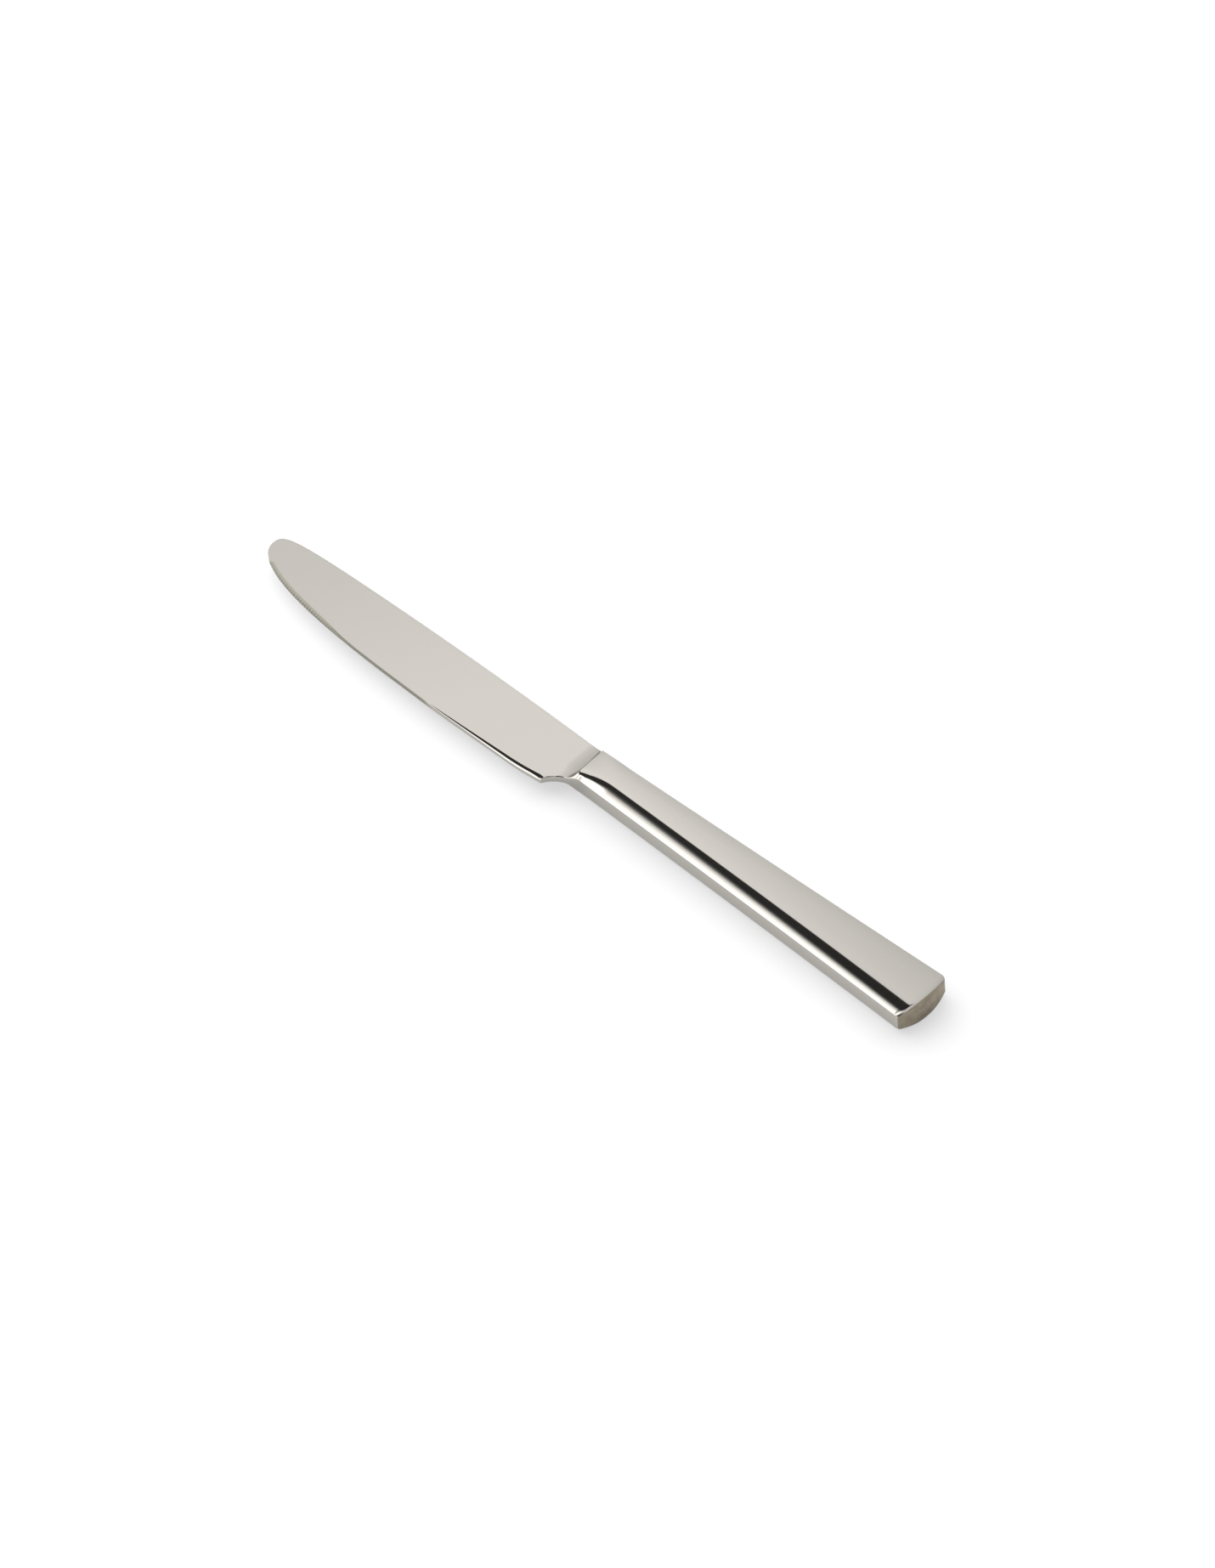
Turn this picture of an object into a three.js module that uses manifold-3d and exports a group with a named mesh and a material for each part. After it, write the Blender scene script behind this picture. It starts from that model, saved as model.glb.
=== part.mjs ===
// Table knife with a hollow handle, in millimetres.
// +X runs to the tip, +Y to the cutting edge and +Z up, with the origin under the middle of the whole knife.
import * as THREE from "three";
import Module from "manifold-3d";

const wasm = await Module();
wasm.setup();

// Driving dimensions of the whole knife
const OVERALL_LENGTH = 235;
const HANDLE_LENGTH = 117.2;

// Driving dimensions of the handle
const HANDLE_THICKNESS = 7.2;
const SIDE_WALL = 4.4;
const NECK_WIDTH = 11.72;
const BUTT_WIDTH = 18.2;
const SIDE_HOLLOW = 0.18;
const BUTT_BOW = 1.4;
const BUTT_LEAN = 0.45;
const SHELL_WALL = 0.9;
const REST_LAND_DEPTH = 0.05;
const SEAM_THICKNESS = 0.2;
const BRAZE_THICKNESS = 0.15;
const CAP_EDGE = 2;
const SPIGOT_LENGTH = 4;
const CLEARANCE = 0.3;

// Driving dimensions of the blade
const BELLY_REACH = 12.5;
const BELLY_FRONT = 13.2;
const BELLY_CREST = 16;
const HEEL_DISTANCE = 5;
const HEEL_REACH = 11.65;
const CHOIL_RUN = 9;
const CHOIL_HOOK = 0.27;
const SPINE_FRONT = 6.85;
const SPINE_BOW = 0.54;
const TIP_ROUND = 32.6;
const TIP_OFFSET = -1.64;
const SPINE_THICKNESS = 3.1;
const HEEL_THICKNESS = 1.8;
const TIP_THICKNESS = 1.2;
const BOLSTER_LENGTH = 12;
const BOLSTER_FALL = 0.3;
const BOLSTER_CROWN = 0.7;
const BOLSTER_FAR_CROWN = 1;
const RIBBON_WIDTH = 2.2;
const RIBBON_SLOPE = 0.6;
const RIBBON_EASE = 0.25;
const RIBBON_LEAD = 3;
const RIBBON_END = 1;
const COVE_LENGTH = 4.3;
const COVE_HEIGHT = 0.25;
const COVE_TAPER = 1;
const SHOULDER_BACK = 0.75;
const SHOULDER_SWEEP = 0.88;
const SHOULDER_STEEP = 6;
const SHOULDER_FILLET = 1.25;
const FILLET_GROWTH = 0.9;
const CHOIL_BORDER = 0.3;
const CHOIL_DROP = 0.12;
const BORDER_WIDTH = 1.45;
const BORDER_DROP = 0.4;
const BORDER_END = 50;
const SERRATION_START = 50;
const SERRATION_END = 112.8;
const TOOTH_PITCH = 1.04;
const TOOTH_DEPTH = 0.24;
const BEVEL_WIDTH = 1.1;
const BEVEL_ROOT = 0.2;
const BEVEL_END = 3.6;
const TANG_LENGTH = 54;
const TANG_ROOT_WIDTH = 7.4;
const TANG_END_WIDTH = 4.6;
const TANG_THICKNESS = 2.4;
const TANG_NOTCH_RADIUS = 0.8;

// Values that follow from the driving dimensions
const bladeLength = OVERALL_LENGTH - HANDLE_LENGTH;
const shoulderX = HANDLE_LENGTH - OVERALL_LENGTH / 2;
const buttX = -OVERALL_LENGTH / 2;
const tipX = OVERALL_LENGTH / 2;
const capX = buttX + BUTT_BOW + CAP_EDGE;
const shellBackX = capX + BRAZE_THICKNESS;
const jointX = shoulderX - BOLSTER_LENGTH;
const shellFrontX = jointX - BRAZE_THICKNESS;
const midZ = HANDLE_THICKNESS / 2;
const wallHalf = SIDE_WALL / 2;
const crown = midZ - wallHalf;
const neckHalf = NECK_WIDTH / 2;
const buttHalf = BUTT_WIDTH / 2;
const centreY = (BELLY_REACH - buttHalf) / 2;

// Points across the crown of a handle section, as shares of its half width
const CROWN_STEPS = 10;
const crownShares = Array.from({ length: CROWN_STEPS + 1 }, (_, i) => 1 - (2 * i) / CROWN_STEPS);
const landShare = Math.sqrt(REST_LAND_DEPTH / (crown + REST_LAND_DEPTH));
const soleShares = [1, 0.8, 0.6, 0.4, landShare, -landShare, -0.4, -0.6, -0.8, -1];

// Stations along the shells, and where the choil starts to climb on the forging
const choilStartX = shoulderX + HEEL_DISTANCE - CHOIL_RUN;
const handleStations = spread(shellBackX, shellFrontX, 10);

function spread(from, to, steps) {
  return Array.from({ length: steps + 1 }, (_, i) => from + ((to - from) * i) / steps);
}

// Half width of the handle: it widens from neck to butt, with slightly hollow sides.
function handleHalf(x) {
  const back = THREE.MathUtils.clamp((shoulderX - x) / (HANDLE_LENGTH - BUTT_BOW), 0, 1.02);
  return neckHalf + (buttHalf - neckHalf) * back - 4 * SIDE_HOLLOW * back * (1 - back);
}

// How far the edge side stands out beyond the handle where the choil climbs, ever more steeply, to the heel.
function choilRise(x) {
  const climb = THREE.MathUtils.clamp((x - choilStartX) / CHOIL_RUN, 0, 1);
  return (HEEL_REACH - neckHalf) * ((1 - CHOIL_HOOK) * climb ** 2 + CHOIL_HOOK * climb ** 9);
}

// Middle and half width of the handle section at x, less an inset on both sides.
function span(x, inset) {
  const spine = -handleHalf(x) + inset;
  const edge = handleHalf(x) + choilRise(x) - inset;
  return { middle: (edge + spine) / 2, half: (edge - spine) / 2 };
}

// Height of the handle's upper face above the middle plane, at a share of the half width.
function crownHeight(share) {
  return wallHalf + crown * (1 - share * share);
}

// Depth of the handle's lower face below the middle plane: the same crown, with a narrow flat land to rest on.
function soleDepth(share) {
  return wallHalf + Math.min(crown, (crown + REST_LAND_DEPTH) * (1 - share * share));
}

function point(x, y, z) {
  return new THREE.Vector3(x, y - centreY, midZ + z);
}

// Upper face of a handle section from the edge side to the spine side, drawn in by an inset.
function crownLine(x, inset) {
  const { middle, half } = span(x, inset);
  const full = half + inset;
  return crownShares.map((s) => point(x, middle + half * s, crownHeight((half * s) / full) - inset));
}

// Lower face of a handle section from the edge side to the spine side, drawn in by an inset.
function soleLine(x, inset) {
  const { middle, half } = span(x, inset);
  const full = half + inset;
  return soleShares.map((s) => point(x, middle + half * s, inset - soleDepth((half * s) / full)));
}

// Whole handle section as one ring.
function sectionRing(x, inset) {
  return [...crownLine(x, inset), ...soleLine(x, inset).reverse()];
}

// Section of a pressed half shell: the outer face, the two rims and the inner face.
function upperShellRing(x) {
  const outer = span(x, 0);
  const rim = SEAM_THICKNESS / 2;
  const inner = outer.half - SHELL_WALL;
  return [
    point(x, outer.middle + outer.half, rim),
    ...crownLine(x, 0),
    point(x, outer.middle - outer.half, rim),
    point(x, outer.middle - inner, rim),
    ...crownLine(x, SHELL_WALL).reverse(),
    point(x, outer.middle + inner, rim),
  ];
}

function lowerShellRing(x) {
  const outer = span(x, 0);
  const rim = -SEAM_THICKNESS / 2;
  const inner = outer.half - SHELL_WALL;
  return [
    point(x, outer.middle - outer.half, rim),
    ...soleLine(x, 0).reverse(),
    point(x, outer.middle + outer.half, rim),
    point(x, outer.middle + inner, rim),
    ...soleLine(x, SHELL_WALL),
    point(x, outer.middle - inner, rim),
  ];
}

// Section of the braze in a long seam, on the edge side (side 1) or the spine side (side -1).
function seamRing(x, side) {
  const { middle, half } = span(x, 0);
  const outer = middle + side * half;
  const inner = middle + side * (half - SHELL_WALL);
  const [right, left] = side > 0 ? [outer, inner] : [inner, outer];
  const high = SEAM_THICKNESS / 2;
  return [point(x, right, -high), point(x, right, high), point(x, left, high), point(x, left, -high)];
}

// A closed solid through rings of equal count, in order along +X, each anticlockwise when seen from +X.
function loft(rings, fill = endFaces) {
  const count = rings[0].length;
  const index = [];
  for (let i = 0; i + 1 < rings.length; i++) {
    for (let j = 0; j < count; j++) {
      const a = i * count + j;
      const b = i * count + ((j + 1) % count);
      index.push(a, b, b + count, a, b + count, a + count);
    }
  }
  const last = count * (rings.length - 1);
  fill(rings[0]).forEach(([a, b, c]) => index.push(a, c, b));
  fill(rings.at(-1)).forEach(([a, b, c]) => index.push(last + a, last + b, last + c));
  const geometry = new THREE.BufferGeometry().setFromPoints(rings.flat());
  return geometry.setIndex(index);
}

// Triangles that fill a ring, each anticlockwise when seen from +X.
function endFaces(ring) {
  const flat = ring.map((p) => new THREE.Vector2(p.y, p.z));
  return THREE.ShapeUtils.triangulateShape(flat, []).map(([a, b, c]) => {
    const turn = flat[b].clone().sub(flat[a]).cross(flat[c].clone().sub(flat[a]));
    return turn > 0 ? [a, b, c] : [a, c, b];
  });
}

// Triangles that fill a ring made of two facing rows, which keeps points that lie in a straight line.
function facingFaces(ring) {
  const top = ring.length - 1;
  return spread(0, ring.length / 2 - 2, ring.length / 2 - 2).flatMap((a) => [
    [a, a + 1, top - a - 1],
    [a, top - a - 1, top - a],
  ]);
}

// A plan outline raised between two heights above the middle plane.
function raise(outline, low, high) {
  const geometry = new THREE.ExtrudeGeometry(outline, { depth: high - low, bevelEnabled: false, curveSegments: 12 });
  return geometry.translate(0, -centreY, midZ + low);
}

function solid(geometry) {
  const plain = new THREE.BufferGeometry().setAttribute("position", geometry.getAttribute("position").clone());
  if (geometry.index) plain.setIndex(geometry.index);
  const mesh = new wasm.Mesh({ numProp: 3, ...weld(plain) });
  return new wasm.Manifold(mesh);
}

// Vertices at the same place become one, so that manifold-3d reads a closed surface.
function weld(geometry) {
  const source = geometry.getAttribute("position");
  const order = geometry.index ? Array.from(geometry.index.array) : Array.from({ length: source.count }, (_, i) => i);
  const seen = new Map();
  const places = [];
  const triVerts = order.map((i) => {
    const place = [source.getX(i), source.getY(i), source.getZ(i)];
    const key = place.map((v) => Math.round(v * 1e4)).join(" ");
    if (!seen.has(key)) {
      seen.set(key, seen.size);
      places.push(...place);
    }
    return seen.get(key);
  });
  return { vertProperties: new Float32Array(places), triVerts: new Uint32Array(triVerts) };
}

function geometryOf(made) {
  const mesh = made.getMesh();
  const geometry = new THREE.BufferGeometry();
  geometry.setAttribute("position", new THREE.BufferAttribute(new Float32Array(mesh.vertProperties), 3));
  return geometry.setIndex(new THREE.BufferAttribute(new Uint32Array(mesh.triVerts), 1));
}

// Blade outline: the spine bows out to the tip round, and the belly sweeps back from the tip to its crest.
const spineFrontX = tipX - TIP_ROUND;
const spineSlope = (neckHalf - SPINE_FRONT + 4 * SPINE_BOW) / (spineFrontX - shoulderX);
const tipCurve = new THREE.CubicBezierCurve(
  new THREE.Vector2(spineFrontX, -SPINE_FRONT),
  new THREE.Vector2(spineFrontX + 0.95 * TIP_ROUND, -SPINE_FRONT + 0.95 * TIP_ROUND * spineSlope),
  new THREE.Vector2(tipX, TIP_OFFSET - 0.55 * SPINE_FRONT),
  new THREE.Vector2(tipX, TIP_OFFSET),
);
const crestX = shoulderX + BELLY_CREST;
const bellyCurve = new THREE.CubicBezierCurve(
  new THREE.Vector2(crestX, BELLY_REACH),
  new THREE.Vector2(crestX + 0.4 * (tipX - crestX), BELLY_REACH),
  new THREE.Vector2(tipX, BELLY_FRONT),
  new THREE.Vector2(tipX, TIP_OFFSET),
);
const heelX = shoulderX + HEEL_DISTANCE;

// The parameter at which a curve that only runs forward in x reaches x.
function parameterAt(curve, x) {
  let low = 0;
  let high = 1;
  for (let i = 0; i < 40; i++) {
    const half = (low + high) / 2;
    if (curve.getPoint(half).x < x) low = half;
    else high = half;
  }
  return (low + high) / 2;
}

function spineY(x) {
  if (x > spineFrontX) return tipCurve.getPoint(parameterAt(tipCurve, x)).y;
  if (x < shoulderX) return -handleHalf(x);
  const along = (x - shoulderX) / (spineFrontX - shoulderX);
  return -neckHalf - (SPINE_FRONT - neckHalf) * along - 4 * SPINE_BOW * along * (1 - along);
}

function edgeY(x) {
  if (x > crestX) return bellyCurve.getPoint(parameterAt(bellyCurve, x)).y;
  if (x < heelX) return handleHalf(x) + choilRise(x);
  const back = (crestX - x) / (crestX - heelX);
  return BELLY_REACH - (BELLY_REACH - HEEL_REACH) * back * back;
}

// Height of the blade's flat above the middle plane: it thins evenly to the tip, and at the heel also to the edge.
function faceHeight(x, y) {
  const along = THREE.MathUtils.clamp((x - shoulderX) / bladeLength, 0, 1);
  const spineHalf = (SPINE_THICKNESS + (TIP_THICKNESS - SPINE_THICKNESS) * along) / 2;
  const lean = ((SPINE_THICKNESS - HEEL_THICKNESS) / 2 / (HEEL_REACH + neckHalf)) * (1 - along);
  return spineHalf - lean * (y - spineY(x));
}

// Outward direction of the belly in plan at x.
function edgeNormal(x) {
  if (x <= crestX) return new THREE.Vector2(0, 1);
  const tangent = bellyCurve.getTangent(parameterAt(bellyCurve, x));
  return new THREE.Vector2(-tangent.y, tangent.x);
}

// Share of the blade's border that is left: it falls evenly from the heel to the border's end.
function borderFade(x) {
  return THREE.MathUtils.clamp((shoulderX + BORDER_END - x) / (BORDER_END - HEEL_DISTANCE), 0, 1);
}

// Height of the upright wall's top above the middle plane, from the bolster along the choil and the plain edge.
function borderHeight(x) {
  const { smoothstep, lerp } = THREE.MathUtils;
  const s = x - shoulderX;
  const drop = lerp(CHOIL_DROP, BORDER_DROP * borderFade(x), smoothstep(s, 0.6, 9));
  return lerp(wallHalf, faceHeight(x, edgeY(x)) - drop, smoothstep(s, -RIBBON_LEAD, RIBBON_END));
}

// Width of the blade's border: narrow at the choil, widest past the heel, and narrowing to its end.
function borderWidth(x) {
  const { smoothstep, lerp } = THREE.MathUtils;
  const s = x - shoulderX;
  return lerp(CHOIL_BORDER, 0.06 + BORDER_WIDTH * borderFade(x), smoothstep(s, 2.5, 6.5));
}

// Height of the bolster above the middle plane. The handle's crown flattens along it, and on the edge side a ribbon
// falls away, rounded at first and then a flat facet that runs on past the shoulder.
function bolsterHeight(x, y) {
  const { smoothstep, lerp, clamp } = THREE.MathUtils;
  const s = x - shoulderX;
  const edge = edgeY(x);
  const ease = smoothstep(s, -BOLSTER_LENGTH, -1);
  const apex = midZ - BOLSTER_FALL * clamp(1 + s / BOLSTER_LENGTH, 0, 1) ** 2;
  const bow = lerp(crown, BOLSTER_CROWN, ease);
  const farBow = lerp(crown, BOLSTER_FAR_CROWN, ease);
  const top = apex - (y > 0 ? bow * (y / edge) ** 2 : farBow * (y / handleHalf(x)) ** 2);
  const across = clamp(1 - (edge - y) / RIBBON_WIDTH, 0, 1);
  const curved = top - (apex - bow - wallHalf) * across ** 2;
  const steep = RIBBON_SLOPE - RIBBON_EASE * smoothstep(s, 0.4, 1.2) + 3 * smoothstep(s, 2.6, 4);
  const faceted = Math.min(top, borderHeight(x) + steep * (edge - y));
  return lerp(curved, faceted, smoothstep(s, -9, -1));
}

// Height of the forging's faces above the middle plane: the bolster, cut off at the shoulder by a steep step with a
// fillet at its foot, and a shallow cove that runs out on the blade's flat. The flat turns down in a rounded border
// along the choil.
function forgedHeight(x, y) {
  const { smoothstep, lerp, clamp } = THREE.MathUtils;
  const s = x - shoulderX;
  const edge = edgeY(x);
  const share = clamp(1 - (edge - y) / borderWidth(x), 0, 1);
  const rounded = 1 - Math.sqrt(1 - 0.98 * share ** 2);
  const turned = 0.65 * share + 0.35 * share ** 5;
  const border = lerp(rounded, turned, smoothstep(s, 3.5, 5.5)) * smoothstep(s, 1.8, 3.4);
  const blade = faceHeight(x, y) - (faceHeight(x, edge) - borderHeight(x)) * border;
  const reach = clamp((y + neckHalf) / NECK_WIDTH, 0, 1);
  const foot = -SHOULDER_BACK - SHOULDER_SWEEP * (1 - (1 - reach) ** 2);
  const near = smoothstep(y, 2, 6);
  const climb = Math.max(0, 1 - (COVE_TAPER * near + s) / COVE_LENGTH);
  const radius = SHOULDER_FILLET + FILLET_GROWTH * near;
  const curl = clamp(1 + (foot - s) / radius, 0, 1);
  const fillet = radius * (1 - Math.sqrt(1 - 0.98 * curl ** 2));
  const step = SHOULDER_STEEP * Math.max(0, foot - s);
  const cove = blade + COVE_HEIGHT * climb ** 2 + fillet + step;
  return Math.min(bolsterHeight(x, y), cove);
}

// How far the bevel has widened at x: 0 along the narrow grind, 1 at the front.
function bevelShare(x) {
  return THREE.MathUtils.smoothstep(x - shoulderX, 74, 92);
}

// One section of the blade: spine, flat sides, the rounded border and, at the front, the bevel on the upper side.
// The tooth value cuts the edge back by that depth.
function bladeRing(x, tooth) {
  const spine = spineY(x);
  const edge = edgeY(x);
  const width = edge - spine;
  const half = faceHeight(x, edge);
  const back = faceHeight(x, spine);
  const { smoothstep, lerp } = THREE.MathUtils;
  const front = 1 - smoothstep(x, tipX - BEVEL_END - 2.6, tipX - BEVEL_END);
  const ground = front * smoothstep(x, shoulderX + SERRATION_START - 8, shoulderX + SERRATION_START + 6);
  const ease = Math.min(0.25, 0.1 * width);
  const border = borderWidth(x);
  const wall = borderHeight(x);
  const bevel = lerp(BEVEL_ROOT, BEVEL_WIDTH, bevelShare(x));
  const upperInset = Math.min(lerp(border, bevel, ground), 0.3 * width);
  const lowerInset = Math.min(lerp(border, 0.3, ground), 0.2 * width);
  const upperEdge = lerp(wall, -0.3 * half, ground);
  const lowerEdge = lerp(-wall, -0.75 * half, ground);
  const out = edgeNormal(x);
  const from = (inset, z) => point(x - out.x * inset, edge - out.y * inset, z);
  return [
    from(tooth, lowerEdge),
    from(tooth, upperEdge),
    from(upperInset, faceHeight(x, edge - upperInset)),
    point(x, spine + ease, back),
    point(x, spine, back - ease),
    point(x, spine, ease - back),
    point(x, spine + ease, -back),
    from(lowerInset, -faceHeight(x, edge - lowerInset)),
  ];
}

// Stations of the blade: the choil, the plain edge, two for each tooth, and closer ones round the tip.
function bladeStations() {
  const rootX = heelX - 1.4;
  const plain = [...spread(rootX, heelX, 6), ...spread(heelX, shoulderX + SERRATION_START, 12).slice(1)];
  const start = parameterAt(bellyCurve, shoulderX + SERRATION_START);
  const end = parameterAt(bellyCurve, Math.min(shoulderX + SERRATION_END, tipX - 1));
  const samples = spread(start, end, 400).map((t) => bellyCurve.getPoint(t));
  const lengths = [0];
  samples.slice(1).forEach((p, i) => lengths.push(lengths[i] + p.distanceTo(samples[i])));
  const teeth = Math.max(2, Math.round(lengths.at(-1) / TOOTH_PITCH));
  const cut = spread(0, lengths.at(-1), 2 * teeth).map((length, i) => {
    const k = THREE.MathUtils.clamp(lengths.findIndex((l) => l >= length - 1e-9), 1, samples.length - 1);
    const share = (length - lengths[k - 1]) / (lengths[k] - lengths[k - 1]);
    const x = THREE.MathUtils.lerp(samples[k - 1].x, samples[k].x, share);
    return { x, tooth: i % 2 ? TOOTH_DEPTH * (0.5 + 0.5 * bevelShare(x)) : 0 };
  });
  const lastX = cut.at(-1).x;
  const round = [0.15, 0.3, 0.45, 0.6, 0.74, 0.86, 0.94, 0.98, 0.996].map((s) => ({ x: lastX + (tipX - lastX) * s, tooth: 0 }));
  return [...plain.map((x) => ({ x, tooth: 0 })), ...cut.slice(1), ...round];
}

// One section of the bolster and the blade's root, a hair proud of the blade where the two run together.
const forgedShares = [1, 0.97, 0.93, 0.88, 0.82, 0.75, 0.66, 0.54, 0.4, 0.2, 0, -0.2, -0.4, -0.6, -0.8, -1];
function forgedRing(x) {
  const { middle, half } = span(x, x > shoulderX ? -0.02 : 0);
  const lift = x > shoulderX ? 0.02 : 0;
  const row = (sign) =>
    forgedShares.map((share) => {
      const y = middle + half * share;
      return point(x, y, sign * (forgedHeight(x, y) + lift));
    });
  return [...row(1), ...row(-1).reverse()];
}

// Stations of the bolster from the joint to just short of the heel, closer at the shoulder.
function forgedStations() {
  const steepX = shoulderX - RIBBON_LEAD;
  const flatX = shoulderX + 1.6;
  const behind = spread(jointX, steepX, 8);
  const cove = spread(steepX, flatX, 22);
  const root = spread(flatX, heelX - 0.4, 7);
  return [...behind, ...cove.slice(1), ...root.slice(1)];
}

// The tang in plan: it narrows to its end, with a round notch on each side that keys it into the filler.
function tangOutline(clearance) {
  const front = jointX + 0.8;
  const back = jointX - TANG_LENGTH - clearance;
  const root = TANG_ROOT_WIDTH / 2 + clearance;
  const end = TANG_END_WIDTH / 2 + clearance;
  const notchX = jointX - 0.75 * TANG_LENGTH;
  const radius = TANG_NOTCH_RADIUS - clearance;
  const share = (front - notchX) / (front - back);
  const notchY = root + (end - root) * share;
  const outline = new THREE.Shape();
  outline.moveTo(front, -root);
  outline.lineTo(front, root);
  outline.absarc(notchX, notchY, radius, 0, Math.PI, true);
  outline.lineTo(back, end);
  outline.lineTo(back, -end);
  outline.absarc(notchX, -notchY, radius, Math.PI, 0, true);
  outline.closePath();
  return outline;
}

function tang(clearance) {
  const high = TANG_THICKNESS / 2 + clearance;
  return solid(raise(tangOutline(clearance), -high, high));
}

function makeBlade() {
  const body = solid(loft(bladeStations().map(({ x, tooth }) => bladeRing(x, tooth))));
  const bolster = solid(loft(forgedStations().map(forgedRing), facingFaces));
  return geometryOf(body.add(bolster).add(tang(0)));
}

// The butt cap: the handle section with a bowed end face that leans back upwards, and a spigot that enters the shells.
function makeCap() {
  const section = solid(loft([sectionRing(buttX - 0.2, 0), sectionRing(capX, 0)]));
  const radius = (buttHalf * buttHalf) / (2 * BUTT_BOW) + BUTT_BOW / 2;
  const reach = Math.asin(Math.min(0.95, (1.05 * buttHalf) / radius));
  const bow = new THREE.Shape();
  bow.absarc(buttX + radius, 0, radius, Math.PI - reach, Math.PI + reach, false);
  bow.lineTo(capX + 1, -1.05 * buttHalf);
  bow.lineTo(capX + 1, 1.05 * buttHalf);
  bow.closePath();
  const lean = new THREE.Matrix4().makeShear(0, 0, 0, 0, BUTT_LEAN / midZ, 0);
  const face = section.intersect(solid(raise(bow, -midZ - 1, midZ + 1).applyMatrix4(lean)));
  const inset = SHELL_WALL + CLEARANCE;
  const spigot = solid(loft([sectionRing(capX - 0.5, inset), sectionRing(capX + SPIGOT_LENGTH, inset)]));
  return geometryOf(face.add(spigot));
}

// A flat ring of braze over the ends of both shells.
function makeEndBraze(from, to) {
  const outer = solid(loft([sectionRing(from, 0), sectionRing(to, 0)]));
  const inner = solid(loft([sectionRing(from - 1, SHELL_WALL), sectionRing(to + 1, SHELL_WALL)]));
  return geometryOf(outer.subtract(inner));
}

// The filler that holds the tang: the space in the shells, less a pocket that opens at the mouth.
function makeFiller() {
  const inset = SHELL_WALL + CLEARANCE;
  const back = capX + SPIGOT_LENGTH + CLEARANCE;
  const stations = [back, ...handleStations.filter((x) => x > back + 2)];
  const core = solid(loft(stations.map((x) => sectionRing(x, inset))));
  return geometryOf(core.subtract(tang(CLEARANCE)));
}

const polishedSteel = new THREE.MeshStandardMaterial({ color: "#cfcbc3", roughness: 0.08, metalness: 1 });
const groundSteel = new THREE.MeshStandardMaterial({ color: "#a39b90", roughness: 0.4, metalness: 1 });
const silverBraze = new THREE.MeshStandardMaterial({ color: "#c9c3b4", roughness: 0.2, metalness: 1 });
const resinFiller = new THREE.MeshStandardMaterial({ color: "#8d857a", roughness: 0.9, metalness: 0 });

const knife = new THREE.Group();
knife.name = "table_knife";

function place(name, geometry, material) {
  const mesh = new THREE.Mesh(geometry, material.clone());
  mesh.name = name;
  knife.add(mesh);
}

place("blade", makeBlade(), polishedSteel);
place("upper_shell", loft(handleStations.map(upperShellRing)), polishedSteel);
place("lower_shell", loft(handleStations.map(lowerShellRing)), polishedSteel);
place("butt_cap", makeCap(), groundSteel);
place("edge_seam_braze", loft(handleStations.map((x) => seamRing(x, 1))), silverBraze);
place("spine_seam_braze", loft(handleStations.map((x) => seamRing(x, -1))), silverBraze);
place("mouth_braze", makeEndBraze(shellFrontX, jointX), silverBraze);
place("cap_braze", makeEndBraze(capX, shellBackX), silverBraze);
place("tang_filler", makeFiller(), resinFiller);

export default knife;
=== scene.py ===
"""A mirror-polished table knife with a hollow handle, lying on a white table."""

import math

import bpy
import numpy as np
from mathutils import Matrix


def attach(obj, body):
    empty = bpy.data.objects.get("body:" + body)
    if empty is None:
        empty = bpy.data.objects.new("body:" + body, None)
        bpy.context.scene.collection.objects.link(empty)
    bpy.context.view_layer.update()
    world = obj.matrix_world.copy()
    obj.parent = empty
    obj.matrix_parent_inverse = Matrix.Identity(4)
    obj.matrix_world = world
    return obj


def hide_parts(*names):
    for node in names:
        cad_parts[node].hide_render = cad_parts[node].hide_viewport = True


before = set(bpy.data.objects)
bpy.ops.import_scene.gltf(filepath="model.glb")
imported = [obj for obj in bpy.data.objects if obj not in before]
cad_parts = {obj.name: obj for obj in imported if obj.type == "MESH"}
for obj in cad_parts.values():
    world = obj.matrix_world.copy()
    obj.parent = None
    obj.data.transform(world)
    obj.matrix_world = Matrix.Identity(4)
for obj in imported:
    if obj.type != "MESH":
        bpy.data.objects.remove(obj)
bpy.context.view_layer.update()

MM = 0.001

# Sizes of the handle in millimetres, as the solids have them
OVERALL_LENGTH = 235.0
HANDLE_LENGTH = 117.2
HANDLE_THICKNESS = 7.2
SIDE_WALL = 4.4
NECK_WIDTH = 11.72
BUTT_WIDTH = 18.2
SIDE_HOLLOW = 0.18
BUTT_BOW = 1.4
BUTT_LEAN = 0.45
SHELL_WALL = 0.9
REST_LAND_DEPTH = 0.05
SEAM_THICKNESS = 0.2
BRAZE_THICKNESS = 0.15
CAP_EDGE = 2.0
SPIGOT_LENGTH = 4.0
CLEARANCE = 0.3

# Sizes of the blade's outline and thickness in millimetres, as the solids have them
BELLY_REACH = 12.5
BELLY_FRONT = 13.2
BELLY_CREST = 16.0
HEEL_DISTANCE = 5.0
HEEL_REACH = 11.65
CHOIL_RUN = 9.0
CHOIL_HOOK = 0.27
SPINE_FRONT = 6.85
SPINE_BOW = 0.54
TIP_ROUND = 32.6
TIP_OFFSET = -1.64
SPINE_THICKNESS = 3.1
HEEL_THICKNESS = 1.8
TIP_THICKNESS = 1.2

# Arms of the outline's Bezier curves, as shares of the size that each goes with, and points along the curves
TIP_SPINE_ARM = 0.95
TIP_FRONT_ARM = 0.55
BELLY_ARM = 0.4
TIP_CURVE_POINTS = 6000
BELLY_CURVE_POINTS = 12000

# The handle's taper runs on by this share of its length behind the corners of the butt
TAPER_OVERRUN = 0.02

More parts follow.
